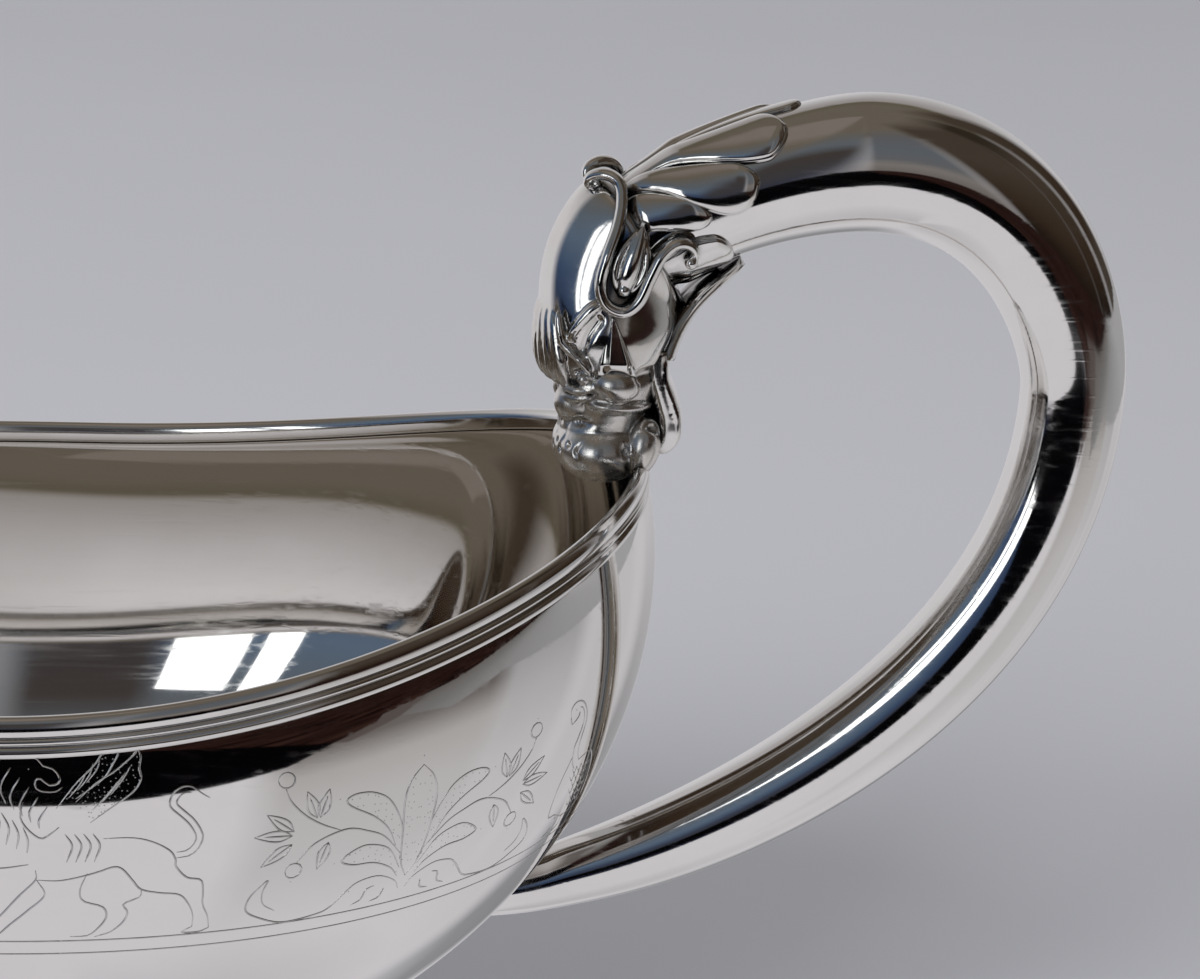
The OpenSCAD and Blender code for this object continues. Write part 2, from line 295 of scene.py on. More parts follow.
def wiping_marks(tree, coords):
    """Fine lines in three directions, 0 on the clean skin and up to 3 where they cross."""
    marks = None
    for turn, scale in (((0.2, 0.5, 0.3), (30, 900, 900)), ((0.9, -0.4, 1.3), (40, 1300, 1300)),
                        ((-0.5, 0.2, 2.2), (25, 700, 700))):
        line = noise(tree, stretched(tree, coords, turn, scale), 1.0, 2, 0.55)
        line = ramp(tree, line, [(0.60, grey(0.0)), (0.70, grey(1.0))])
        marks = line if marks is None else math_node(tree, "ADD", marks, line)
    return marks


def satin_below(tree, coords, low, high, added):
    """Added roughness that is full and patchy below the height low and gone above high, in mm."""
    z = add(tree, "SeparateXYZ", coords).outputs["Z"]
    below = math_node(tree, "MULTIPLY_ADD", z, -1 / ((high - low) * MM), high / (high - low))
    below.node.use_clamp = True
    patches = ramp(tree, noise(tree, coords, 900, 3, 0.6), [(0.35, grey(0.55)), (0.65, grey(1.0))])
    return math_node(tree, "MULTIPLY", below, math_node(tree, "MULTIPLY", patches, added))


def silver(name, light, dark, smooth_r, worn_r, scratches, hollow=0.0, satin=None):
    """Polished silver: fine wiping scratches, faint clouds of tarnish, and hollows darkened by painted
    shade that also stands for tarnish.
    """
    m, tree, bsdf = new_material(name)
    coords = object_coords(tree)
    colour = ramp(tree, noise(tree, coords, 90, 4, 0.6), [(0.35, light), (0.75, dark)])
    if hollow:
        # Painted shade: ambient occlusion darkens the base colour where walls stand close, for the shade
        # that falls in hollows and the tarnish kept there.
        ao = add(tree, "AmbientOcclusion", Distance=HOLLOW_REACH * MM)
        ao.samples = 6
        shade = ramp(tree, ao.outputs["AO"], [(0.3, grey(1 - hollow)), (0.78, grey(1.0))])
        colour = mix_node(tree, colour, shade, 1.0, "MULTIPLY")
    marks = wiping_marks(tree, coords)
    wear = noise(tree, coords, 260, 3, 0.6)
    rough = math_node(tree, "MULTIPLY_ADD", wear, worn_r - smooth_r, smooth_r)
    rough = math_node(tree, "ADD", rough, math_node(tree, "MULTIPLY", marks, 0.05))
    if satin:
        rough = math_node(tree, "ADD", rough, satin_below(tree, coords, *satin))
    bump = add(tree, "Bump", Strength=scratches, Distance=SCRATCH_DEPTH * MM, Height=marks)
    fill(tree, bsdf, Metallic=1.0, Base_Color=colour, Roughness=rough, Normal=bump.outputs["Normal"])
    return m


def engraved_silver():
    """The cut lines of the frieze, dull and greyer than the sheet round them."""
    m, tree, bsdf = new_material("engraved_line")
    tone = noise(tree, object_coords(tree), 500, 2)
    colour = ramp(tree, tone, [(0.3, (0.62, 0.61, 0.60)), (0.7, (0.84, 0.83, 0.82))])
    rough = ramp(tree, tone, [(0.3, grey(0.24)), (0.7, grey(0.14))])
    fill(tree, bsdf, Metallic=1.0, Base_Color=colour, Roughness=rough)
    return m


def pale_floor():
    m, tree, bsdf = new_material("pale_floor")
    tone = noise(tree, object_coords(tree), 3, 3)
    colour = ramp(tree, tone, [(0.3, (0.56, 0.56, 0.585)), (0.7, (0.58, 0.58, 0.605))])
    fill(tree, bsdf, Base_Color=colour, Roughness=0.8)
    return m


SHEET_SILVER = silver("sheet_silver", (0.94, 0.93, 0.915), (0.91, 0.895, 0.875), 0.02, 0.06, 0.12)
TUBE_SILVER = silver("tube_silver", (0.94, 0.93, 0.915), (0.90, 0.885, 0.865), 0.04, 0.10, 0.3)
# hollow sets how far the painted shade, partly tarnish, darkens each piece's hollows.
WIRE_SILVER = silver("wire_silver", (0.93, 0.92, 0.90), (0.87, 0.85, 0.83), 0.05, 0.13, 0.3, hollow=0.75)
CAST_SILVER = silver("cast_silver", (0.92, 0.91, 0.89), (0.84, 0.82, 0.79), 0.06, 0.15, 0.35, hollow=0.8)
HEAD_SILVER = silver("head_silver", (0.92, 0.91, 0.89), (0.82, 0.79, 0.75), 0.06, 0.15, 0.35, hollow=0.85,
                     satin=(94.6, 97.4, 0.22))
LINE_SILVER = engraved_silver()


# ---- bowl ----

def front_half(q):
    return (SPOUT_HALF + (HALF_W - SPOUT_HALF) * (1 - q**2.4)**2.2) * np.sqrt(np.maximum(0, 1 - q**8))


def rim(t):
    """A point of the rim at angle t in degrees, 0 at the handle end and 180 at the spout's lip."""
    t = np.mod(np.asarray(t, float), 360)
    side = np.where(t > 180, -1.0, 1.0)
    a = np.radians(np.minimum(t, 360 - t))
    c = np.maximum(0, np.cos(a))**(2 / RIM_FULLNESS)
    s = np.maximum(0, np.sin(a))**(2 / RIM_FULLNESS)
    q = np.maximum(0, -np.cos(a))
    back = a <= np.pi / 2
    x = WIDEST_X + np.where(back, BACK_LEN * c, -FRONT_LEN * q)
    y = np.where(back, HALF_W * s, front_half(q))
    z = RIM_LOW + np.where(back, BACK_RISE * c**BACK_RISE_POWER, FRONT_RISE * q**FRONT_RISE_POWER)
    return np.stack([x, y * side, z], axis=-1)


def spoutness(t):
    return smooth((90 - np.abs(180 - np.mod(t, 360))) / 90)


def hull(t, u):
    """A point of the bowl's outer skin: u runs from 0 at the rim to 1 at the bottom's middle."""
    t, u = np.broadcast_arrays(np.asarray(t, float), np.asarray(u, float))
    r = rim(t)
    a = np.pi / 2 * u
    d = np.sin(a)**(2 / (WALL_FULLNESS - SPOUT_SLACKNESS * spoutness(t)))
    k = np.maximum(0, np.cos(a))**WALL_TAPER * (1 + BELLY * np.sin(np.pi * d**0.66))
    z = r[..., 2] + (BOWL_BOTTOM - r[..., 2]) * d - RIM_TUCK * (1 - u)**6
    return np.stack([r[..., 0] * k, r[..., 1] * k, z], axis=-1)


def hull_normal(t, u):
    w = np.clip(u, 0.012, 0.985)
    a = hull(np.asarray(t) + 0.3, w) - hull(np.asarray(t) - 0.3, w)
    b = hull(t, w + 0.008) - hull(t, w - 0.008)
    return unit(np.cross(b, a))


FINE_T = np.linspace(0, 180, 3601)
RIM_RUN = run_length(rim(FINE_T))


def rim_angle(s):
    """Angle of the station that lies s mm round the rim from the handle end."""
    return np.interp(s, RIM_RUN, FINE_T)


def even_stations(count):
    """Angles of stations spaced evenly round the whole rim."""
    half = rim_angle(np.linspace(0, RIM_RUN[-1], count // 2 + 1))
    return np.concatenate([half, 360 - half[-2:0:-1]])


def bowl_sheet():
    stations = even_stations(640)
    rows = np.concatenate([[0, 0.0005], 0.97 * np.linspace(0, 1, 120)[1:]**1.5, [0.985, 0.995]])
    t, u = np.meshgrid(stations, rows)
    outside = hull(t, u)
    inset = hull_normal(t, u) * SHEET
    inset[0, :, 2] = 0
    inside = outside - inset
    n = len(stations)
    m = len(rows)
    points = np.vstack([outside.reshape(-1, 3), inside.reshape(-1, 3), [[0, 0, BOWL_BOTTOM]],
                        [[0, 0, BOWL_BOTTOM + SHEET]]])
    faces = grid_faces(m, n) + grid_faces(m, n, start=m * n)
    faces += [[i, (i + 1) % n, m * n + (i + 1) % n, m * n + i] for i in range(n)]
    faces += fan_faces((m - 1) * n, n, 2 * m * n)
    faces += fan_faces((2 * m - 1) * n, n, 2 * m * n + 1)
    return make_object("bowl_sheet", (points, faces), SHEET_SILVER, "bowl")


def arc(centre, size, start, end, count):
    a = np.radians(np.linspace(start, end, count))
    return [[centre[0] + size[0] * np.cos(i), centre[1] + size[1] * np.sin(i)] for i in a]


def rim_wire():
    """The moulding over the sheet's edge: a broad bead, a fillet, a reed and a soft lower bead."""
    section = [[-1.15, -1.6], [-1.19, -1.2]]
    section += arc((-0.36, -0.47), (0.85, 1.2), 178, -28, 20)
    section += [[0.3, -1.14]]
    section += arc((0.28, -1.47), (0.36, 0.31), 80, -80, 7)
    section += [[0.26, -1.86]]
    section += arc((0.02, -2.52), (0.64, 0.62), 62, -80, 9)
    section += [[0.08, -3.3], [-0.2, -3.3], [-0.3, -1.6]]
    section = np.array(section)
    t = even_stations(900)
    along = rim(t + 0.3) - rim(t - 0.3)
    out = unit(np.stack([along[:, 1], -along[:, 0], 0 * t], axis=-1))
    run = run_length(rim(t))
    # The solder line under the lower bead wanders a little, as a hand-run joint does.
    wander = 0.05 * np.sin(run * 0.83) + 0.04 * np.sin(run * 2.1 + 1)
    rings = rim(t)[:, None] + out[:, None] * section[None, :, :1]
    rings[..., 2] += section[None, :, 1] + wander[:, None] * (section[None, :, 1] < -3.1)
    return make_object("rim_wire", loop_shell(rings), WIRE_SILVER, "rim_moulding")


# ---- engraved frieze ----

FRIEZE_STATION = 50.0  # mm round the rim from the handle end, where the ground line's height is taken
FRIEZE_DROP = 24.1  # mm down the skin from the rim to the ground line, at that station
PALMETTES = (44.9, 102.7)  # middle stations of the figures
LION = 73.7
SWANS = ((22.7, 1), (124.7, -1))  # middle station and facing
CUT_ROOT = -0.06  # heights of a cut's root, margin and crest over the skin
CUT_MARGIN = 0.004
CUT_CREST = 0.03
WALL_U = np.linspace(0, 0.92, 300)
WALL_S = np.linspace(0, 160, 321)
WALL_UP = np.linspace(-4, 23, 136)


def skin_runs(stations):
    """Points down the outer skin at stations round the rim, and the length from the rim to each."""
    points = hull(rim_angle(stations)[:, None], WALL_U[None, :])
    steps = np.linalg.norm(np.diff(points, axis=1), axis=2)
    return points, np.concatenate([np.zeros((len(stations), 1)), np.cumsum(steps, axis=1)], axis=1)


def wall_table():
    """The hull's u for each station and each height above the level ground line."""
    points, runs = skin_runs(np.array([FRIEZE_STATION]))
    ground_z = np.interp(FRIEZE_DROP, runs[0], points[0, :, 2])
    points, runs = skin_runs(WALL_S)
    rows = []
    for p, run in zip(points, runs):
        ground = np.interp(-ground_z, -p[:, 2], run)
        rows.append(np.interp(ground - WALL_UP, run, WALL_U))
    return np.array(rows)


WALL_TABLE = wall_table()


def on_wall(s, up, side, lift):
    """A point s mm round the rim and up mm above the ground line, lifted off the skin."""
    i = np.clip((s - WALL_S[0]) / (WALL_S[1] - WALL_S[0]), 0, len(WALL_S) - 1.001)
    j = np.clip((up - WALL_UP[0]) / (WALL_UP[1] - WALL_UP[0]), 0, len(WALL_UP) - 1.001)
    a, b = i.astype(int), j.astype(int)
    f, g = i - a, j - b
    w = WALL_TABLE
    u = (w[a, b] * (1 - g) + w[a, b + 1] * g) * (1 - f) + (w[a + 1, b] * (1 - g) + w[a + 1, b + 1] * g) * f
    t = rim_angle(s)
    return (hull(t, u) + hull_normal(t, u) * lift[..., None]) * np.array([1, side, 1])


def cut_line(points, side, width=0.2, even=False):
    """One cut of the graver through [s, up] points, thin at its ends."""
    points = np.asarray(points, float)
    count = max(5, int(run_length(points)[-1] / 0.45) + 2)
    path = spline(points, count) if len(points) > 2 else np.linspace(points[0], points[1], count)
    run = np.linspace(0, 1, count)
    half = width / 2 * (1 if even else 0.35 + 0.65 * np.sin(np.pi * run)**0.6)
    along = unit(np.gradient(path, axis=0))
    across = np.stack([-along[:, 1], along[:, 0]], axis=1) * np.broadcast_to(half, count)[:, None]
    rings = []
    for share, lift in ((-1, CUT_MARGIN), (0, CUT_CREST), (1, CUT_MARGIN), (0, CUT_ROOT)):
        p = path + across * share
        rings.append(on_wall(p[:, 0], p[:, 1], side, np.full(count, lift)))
    return shell(np.stack(rings, axis=1))


def dot(place, side, size=0.1):
    """One prick of the punch."""
    s, up = place
    corners = np.array([[s - size, up], [s, up - size], [s + size, up], [s, up + size]])
    ring = on_wall(corners[:, 0], corners[:, 1], side, np.full(4, -0.01))
    top = on_wall(np.array([s]), np.array([up]), side, np.array([0.035]))
    low = on_wall(np.array([s]), np.array([up]), side, np.array([CUT_ROOT]))
    points = np.vstack([ring, top, low])
    faces = [[i, (i + 1) % 4, 4] for i in range(4)] + [[(i + 1) % 4, i, 5] for i in range(4)]
    return points, faces


def ring_line(centre, radius):
    a = np.linspace(0, TAU, 11)
    return [(centre[0] + radius * np.cos(i), centre[1] + radius * np.sin(i)) for i in a]


def leaf_lines(base, tip, width):
    """Both edges and the vein of a small leaf."""
    base = np.array(base, float)
    tip = np.array(tip, float)
    along = tip - base
    across = np.array([-along[1], along[0]]) / np.linalg.norm(along) * width / 2
    bellied = [base + along * 0.3 + across, base + along * 0.62 + across * 0.85]
    hollow = [base + along * 0.3 - across, base + along * 0.62 - across * 0.85]
    return [[base, *bellied, tip], [base, *hollow, tip], [base, base + along * 0.75]]


def pricks_inside(outline, spacing, seed):
    """Pricks spread over the area inside an outline."""
    outline = np.asarray(outline, float)
    low, high = outline.min(0), outline.max(0)
    draw = np.random.default_rng(seed)
    found = []
    ends = np.roll(outline, -1, axis=0)
    run = ends - outline
    for x in np.arange(low[0], high[0], spacing):
        for y in np.arange(low[1], high[1], spacing):
            p = np.array([x, y]) + draw.uniform(-0.4, 0.4, 2) * spacing
            crosses = (outline[:, 1] > p[1]) != (ends[:, 1] > p[1])
            with np.errstate(divide="ignore", invalid="ignore"):
                at = outline[:, 0] + (p[1] - outline[:, 1]) / run[:, 1] * run[:, 0]
            if np.sum(crosses & (p[0] < at)) % 2:
                found.append(tuple(p))
    return found


# The right half of the palmette, as [mm off its middle, mm above the ground line].
PALM_UPPER = [(1.2, 5.2), (1.6, 8.8), (3.1, 11.8), (4.8, 13), (6.6, 13.2), (7.6, 12.7), (7, 11.9),
              (4.8, 10.6), (3.1, 9), (2, 6.9)]
PALM_LOWER = [(1, 4.2), (2.55, 6.6), (4.5, 7.5), (6, 7.4), (7.5, 6.3), (6.2, 5.6), (4, 5.4), (2, 4.4),
              (1, 3.2)]
PALM_MIDDLE = [(1, 5), (1.5, 8.5), (1.7, 11.6), (1.2, 13.6), (0, 15)]
PALM_LINES = [
    [(0, 3)] + PALM_MIDDLE, PALM_UPPER, PALM_LOWER,
    [(1.2, 5.8), (3.4, 8.2), (5.4, 9.2), (7.1, 9.7), (8.8, 9.4), (10.5, 8.6), (11.5, 7.5), (12, 6.8)],
    [(8, 9.7), (9.9, 10.6), (11.6, 11.8), (12.9, 13.3), (13.4, 14.6)],
    [(0.4, 1.6), (1.1, 2.7), (3.1, 3.7), (5.1, 3.5), (6.2, 2.7), (7.7, 0.95), (9.1, 0.4), (12.2, 0.1),
     (14.5, 0.9), (16.2, 2.1), (15.9, 3.8), (14.5, 5.3), (14.9, 3.9), (14.6, 2.6), (13.4, 1.7)],
    [(2.1, 2), (2.4, 1), (3.4, 0.7)], [(3.3, 2.6), (4.1, 2.3), (4.4, 1.2), (5.4, 0.7)]]
PALM_LEAVES = [((10.1, 11.3), (9.3, 14.1)), ((10.4, 11.3), (11.4, 14.1)), ((12.5, 10.2), (15.1, 12.2)),
               ((12.6, 9.8), (16.2, 10)), ((12.6, 8.9), (15.4, 6.8)), ((9.1, 8.6), (9.9, 5.8))]
PALM_BERRIES = [((12.2, 6), 0.8), ((13.3, 15.4), 0.77)]
PALM_DOTS = [(0, 15.9), (8.3, 12.9), (8.2, 6.1), (12.3, 4.8), (13.3, 16.6), (6, 2.5)]

# The winged lion, walking away from the handle.
LION_WINGS = [
    [(-4.7, 13.9), (-2.95, 16.2), (-1.25, 17.9), (-0.1, 19.6), (0.2, 20.2), (0.7, 20), (0.9, 19),
     (0.3, 17.9), (-0.4, 16.8), (-1.5, 15.9), (-3, 14.8)],
    [(-3, 14.5), (-1.25, 16.2), (0.45, 17.3), (2.2, 18.75), (2.6, 19.3), (2.8, 18.6), (2.6, 17.6),
     (2.7, 16.6), (2.2, 15.6), (1.3, 14.8), (-0.1, 13.8), (-1.8, 12.5)]]
LION_LINES = [
    [(-8.8, 19.6), (-7.5, 19.1), (-6.1, 18.5), (-5.65, 17.9), (-4.8, 17.6), (-4.3, 16.9), (-4.4, 16.3),
     (-5.2, 16.1), (-5.9, 16.7), (-6.4, 16.5), (-6.3, 15.8), (-5.65, 15.5), (-4.7, 15.5), (-4.1, 15.9)],
    [(-7.5, 14.5), (-7.8, 13.1), (-7.2, 11.9), (-6.1, 11), (-5.2, 11.5), (-4.5, 12.1)],
    [(-0.7, 10.9), (1.6, 10.9), (3.3, 10.5), (5, 9.5), (5.6, 8.5), (5.7, 7.7), (6.7, 6.5), (8, 6.1),
     (8.3, 4.8), (8.4, 3.4), (9, 2), (9.3, 0.6)],
    [(5.7, 9.2), (6.7, 9.4), (7.4, 10.5), (6.8, 11.9), (5.9, 12.9), (5.1, 13.8), (5.3, 14.8), (6, 15.5),
     (7, 15.6), (8, 14.8), (8.6, 14.4)],
    [(5.5, 8.6), (7.1, 8.9), (8.0, 10.5), (7.3, 12.2), (6.3, 13.3), (5.7, 14.0), (5.9, 14.6), (6.4, 15.0),
     (7, 15.0)],
    [(-6.5, 6.8), (-4.7, 6.7), (-3, 7), (-1.25, 7.5), (0.2, 8), (1, 7.7), (1.9, 6.5), (2.7, 5.5), (4.4, 5),
     (6.1, 4.7), (7, 3.7), (7.6, 2.3), (7.7, 0.9)],
    [(-2.1, 7.4), (-2.7, 5.7), (-2.4, 4.5), (-0.7, 3.8), (-0.25, 2.8), (-0.7, 1.7), (-1.8, 0.6),
     (-3.4, 0.5)],
    [(2.7, 5.5), (2.6, 4.7), (1.2, 4), (1.6, 3.1), (1.3, 2), (0.2, 0.9), (-1.2, 0.4)],
    [(9.3, 0.6), (8.4, 0.2), (6.8, 0.3), (7.7, 0.9)],
    [(-6.6, 7.8), (-6.6, 6.8), (-7.8, 5.4), (-8.6, 4.4), (-10, 2.6), (-12, 0.8), (-13.4, 0.5)],
    [(-6.5, 6.8), (-5.8, 5.2), (-7.2, 3.6), (-8.8, 2), (-10.2, 0.6), (-12, 0.3)],
    [(-8.8, 19.6), (-10.3, 18.2), (-11.2, 15.8), (-11.0, 13.2), (-10.4, 11), (-10.5, 9.5)],
    [(-10.5, 9.5), (-13, 9.8), (-14.6, 8.2), (-14.2, 6.4), (-13.2, 6.3)],
    [(-7.2, 8.4), (-10, 8), (-12.4, 8.4), (-13.4, 7.6), (-13.2, 6.3)]]


def row(points, steps, count):
    """A row of like strokes: each point moves on by its own step from one stroke to the next."""
    return [[(x + dx * k, y + dy * k) for (x, y), (dx, dy) in zip(points, steps)] for k in range(count)]


LION_MANE = row([(-9.2, 18.6), (-10.2, 16.8), (-9.7, 15)], [(0.75, -0.9), (0.8, -0.8), (0.7, -0.6)], 6)
LION_MANE += row([(-10.3, 14.2), (-9.6, 12.6), (-10, 10.8)], [(0.9, -0.7), (0.8, -0.6), (0.9, -0.4)], 4)
LION_RIBS = row([(-4, 11.4), (-3.4, 10.2), (-3.9, 8.6)], [(0.8, 0)] * 3, 4)
LION_QUILLS = row([(-3.6, 14.9), (-2.6, 16.1), (-1.9, 17.4)], [(0.8, 0.7), (0.8, 0.75), (0.6, 0.7)], 3)
LION_QUILLS += row([(-1.6, 13.7), (-0.3, 15.1), (0.9, 16.6)], [(0.8, 0.7), (0.7, 0.7), (0.5, 0.6)], 3)

SWAN_LINES = [
    [(-3.3, 14.3), (-2.4, 14.9), (-2.3, 15.4)], [(-3.3, 14.3), (-3.6, 14.7), (-3.7, 15.1)],
    [(-3.7, 15.1), (-3.85, 16), (-3.3, 16.6), (-2.4, 16.6), (-1.6, 16.1), (-1, 15.1), (-0.8, 14),
     (-0.9, 12.9), (-1.1, 11.7), (-1, 10.6), (-0.3, 9.45)],
    [(-2.3, 15.9), (-1.85, 15.7), (-1.4, 14.9), (-1.3, 13.7), (-1.6, 12.6), (-2, 11.4), (-1.85, 10.3),
     (-1.3, 9.2), (-0.7, 8.6)],
    [(-0.3, 9.45), (0.7, 9.7), (2.1, 9.7), (3.2, 8.2), (4.1, 5.8), (4.6, 3.4)],
    [(-1.85, 10.3), (-2.6, 8.2), (-2.9, 6), (-2.4, 3.5), (-1, 3.2), (1, 2.35), (3, 2.5), (4.6, 3.4)],
    [(-0.6, 2.8), (-0.4, 1.2), (-1.4, 0.5)], [(1.2, 2.4), (1.3, 1.1), (0.4, 0.5)]]
SWAN_FEATHERS = [[(-1.9 + 0.9 * k, 8.6 - 0.9 * j), (-1.2 + 0.9 * k, 7.9 - 0.9 * j),
                  (-1.1 + 0.9 * k, 8.7 - 0.9 * j)]
                 for j in range(6) for k in range(1 + j // 2, 5 + j // 3)]


def figure(middle, facing, lines, pricks, side, width=0.2):
    """Lines and pricks given off a middle station, facing 1 towards the handle or -1 away from it."""
    solids = [cut_line([(middle - facing * x, y) for x, y in line], side, width) for line in lines]
    return solids + [dot((middle - facing * x, y), side) for x, y in pricks]


def palmette(middle, side):
    lines = list(PALM_LINES)
    for base, tip in PALM_LEAVES:
        lines += leaf_lines(base, tip, 1.05)
    lines += [ring_line(*berry) for berry in PALM_BERRIES]
    pricks = list(PALM_DOTS)
    for seed, outline in enumerate((PALM_UPPER, PALM_LOWER, [(0, 4)] + PALM_MIDDLE), 1):
        pricks += pricks_inside(outline, 0.75, seed)
    return figure(middle, 1, lines, pricks, side) + figure(middle, -1, lines, pricks, side)


def lion(middle, side):
    lines = LION_LINES + LION_WINGS + LION_MANE + LION_RIBS
    pricks = [(-6.9, 17.6)]
    for seed, outline in enumerate(LION_WINGS, 4):
        pricks += pricks_inside(outline, 0.5, seed)
    return figure(middle, 1, lines, pricks, side) + figure(middle, 1, LION_QUILLS, [], side, 0.14)


def frieze():
    """The band of figures on both sides, between the handle and the spout."""
    solids = []
    for side in (-1, 1):
        solids += palmette(PALMETTES[0], side) + lion(LION, side) + palmette(PALMETTES[1], side)
        for middle, facing in SWANS:
            solids += figure(middle, facing, SWAN_LINES, [(-3, 15.8)], side)
            solids += figure(middle, facing, SWAN_FEATHERS, [], side, 0.14)
        for up in (0.0, -1.5):
            for start in np.arange(6, 138, 12):
                line = [(start, up), (start + 6, up), (start + 12.1, up)]
                solids.append(cut_line(line, side, 0.17, even=True))
    return make_object("frieze", joined(solids), LINE_SILVER, None, turn=False)


# ---- foot ----

FOOT_STATIONS = np.linspace(0, TAU, 288, endpoint=False)


def foot_ring(section):
    section = np.asarray(section, float)
    c = np.cos(FOOT_STATIONS)[:, None]
    s = np.sin(FOOT_STATIONS)[:, None]
    w = section[None, :, 0]
    return np.stack([(w + FOOT_STRETCH) * c, w * s, section[None, :, 1] + 0 * c], axis=-1)


def foot_wire():
    w = FOOT_HALF_W
    h = FOOT_WIRE_H
    section = [[w - 4, 0.15], [w - 3.85, 0], [w - 0.6, 0]]
    section += arc((w - 0.7, h / 2), (0.7, h / 2), -80, 80, 12)
    section += [[w - 3.85, h], [w - 4, h - 0.15]]
    return make_object("foot_wire", loop_shell(foot_ring(section)), WIRE_SILVER, "foot_rim")


def foot_body():
    w = FOOT_HALF_W
    z0 = FOOT_WIRE_H
    z1 = z0 + 1.9
    w1 = w - 2.8
    a = np.linspace(0, np.pi / 2, 28)
    step = arc((w - 1.15, z0 + 0.85), (0.75, 0.85), -90, 90, 12)
    sweep_w = NECK_HALF_W + (w1 - NECK_HALF_W) * (1 - np.sin(a))
    sweep_up = np.stack([sweep_w, z1 + (KNOP_LOW - z1) * (1 - np.cos(a))], 1)
    lean = a * 75 / 90
    under = sweep_up - SHEET * np.stack([np.sin(lean), np.cos(lean)], 1)
    under = under[:-1]
    section = step + [[w1 + 0.5, z1 - 0.1]] + sweep_up.tolist() + [[NECK_HALF_W - SHEET, KNOP_LOW]]
    section += under[::-1].tolist() + [[w - 3.6, z0 + 0.2], [w - 3.6, z0]]
    return make_object("foot_body", loop_shell(foot_ring(section)), WIRE_SILVER, "foot")


def hull_height(x, y):
    """Height of the bowl's outer skin over places in plan."""
    angle = np.degrees(np.arctan2(np.abs(y), x))
    edge = rim(FINE_T)
    edge_angle = np.degrees(np.arctan2(edge[:, 1], edge[:, 0]))
    t = np.interp(angle, edge_angle, FINE_T)
    reach = np.linalg.norm(rim(t)[..., :2], axis=-1)
    share = np.hypot(x, y) / reach
    low = np.full_like(share, 0.3)
    high = np.ones_like(share)
    for _ in range(24):
        mid = (low + high) / 2
        p = hull(t, mid)
        beyond = np.linalg.norm(p[..., :2], axis=-1) > share * reach
        low = np.where(beyond, mid, low)
        high = np.where(beyond, high, mid)
    return hull(t, (low + high) / 2)[..., 2]


def foot_knop():
    w = NECK_HALF_W
    z = KNOP_LOW
    knop = [[w - 6, z], [w + 0.4, z]] + arc((w + 0.9, z + 1.3), (1.1, 1.3), -85, 85, 16)
    knop += [[w + 0.55, z + 2.75], [w + 0.6, z + 3.1]]
    rings = foot_ring(knop).transpose(1, 0, 2)
    top_w = np.array([w + 0.9, w + 1.6, w + 2.5, w + 3.4, w + 2.4, w - 6])
    rise = np.array([0.2, 0.5, 0.82, 1, 1, 1])
    top = foot_ring(np.stack([top_w, 0 * top_w], 1)).transpose(1, 0, 2)
    height = hull_height(top[..., 0], top[..., 1]) + 0.05
    top[..., 2] = (z + 3.1) + (height - z - 3.1) * rise[:, None]
    solid = shell(np.concatenate([rings, top]))
    return make_object("foot_knop", solid, WIRE_SILVER, "foot_collar")


# ---- handle ----

LOOP_LINE = np.array([
    [(59.5, 35), (69.5, 41.5), (79, 42.9), (82, 42.9)],
    [(82, 42.9), (99, 42.9), (104, 26), (104, 20)],
    [(104, 20), (104, -12.5), (69, -33), (44, -37.2)]])
LOOP_R = np.array([[5.8, 6.2, 6.9, 6.9], [6.9, 6.9, 5.3, 5.3], [5.3, 5.3, 5.8, 2.4]])
LANDING = unit([0.75, 0, -0.66])


def in_plane(x, z, y=0.0):
    """A place given from the widest station and the lowest rim, y mm off the handle's plane."""
    x, z, y = np.broadcast_arrays(np.asarray(x, float), np.asarray(z, float), np.asarray(y, float))
    return np.stack([x, y, z], axis=-1) + HANDLE_PLACE


def loop_at(s):
    """Middle line, direction, outward direction and radius of the tube, s from 0 to 3."""
    s = np.clip(np.asarray(s, float), 0, 3)
    k = np.minimum(2, s.astype(int))
    u = (s - k)[..., None]
    p = LOOP_LINE[k]
    mid = cubic(p[..., 0, :], p[..., 1, :], p[..., 2, :], p[..., 3, :], u)
    d = 3 * ((p[..., 1, :] - p[..., 0, :]) * (1 - u)**2 + 2 * (p[..., 2, :] - p[..., 1, :]) * u * (1 - u)
             + (p[..., 3, :] - p[..., 2, :]) * u**2)
    d = unit(d)
    r = LOOP_R[k]
    v = u[..., 0]
    radius = cubic(r[..., 0], r[..., 1], r[..., 2], r[..., 3], v)
    zero = 0 * v
    return (in_plane(mid[..., 0], mid[..., 1]), np.stack([d[..., 0], zero, d[..., 1]], -1),
            np.stack([-d[..., 1], zero, d[..., 0]], -1), radius)


def tube_point(s, a, lift=0.0):
    """A point on the handle's skin at station s and angle a from its outer side, in radians."""
    s, a, lift = np.broadcast_arrays(np.asarray(s, float), np.asarray(a, float), np.asarray(lift, float))
    mid, _, out, radius = loop_at(s)
    r = (radius + lift)[..., None]
    across = np.array([0, 0.97, 0])
    return mid + r * (out * np.cos(a)[..., None] + across * np.sin(a)[..., None])


def handle_tube():
    s = np.linspace(0, 3, 520)[:, None]
    a = np.linspace(0, TAU, 120, endpoint=False)[None, :]
    # A soldered seam runs along the inner side, and its filing left shallow dents.
    seam = np.exp(-((np.mod(a, TAU) - np.pi * 0.83) / 0.16)**2)
    dents = 0.05 * np.sin(s * 47) + 0.04 * np.sin(s * 83 + 2) + 0.03 * np.sin(s * 131)
    dents = dents * smooth((s - 1.55) / 0.2) * smooth((2.5 - s) / 0.3)
    points = tube_point(s, a, -np.abs(dents) * seam)
    mid, along, _, _ = loop_at(s)
    slip = ((points - mid) @ LANDING) / (along @ LANDING) * smooth((s - 2.85) / 0.15)
    points = points - along * slip[..., None]
    points = points - LANDING * (0.35 * smooth((s - 2.9) / 0.1))[..., None]
    return make_object("handle_tube", shell(points), TUBE_SILVER, "handle_loop")


# ---- leaves round the handle's root ----

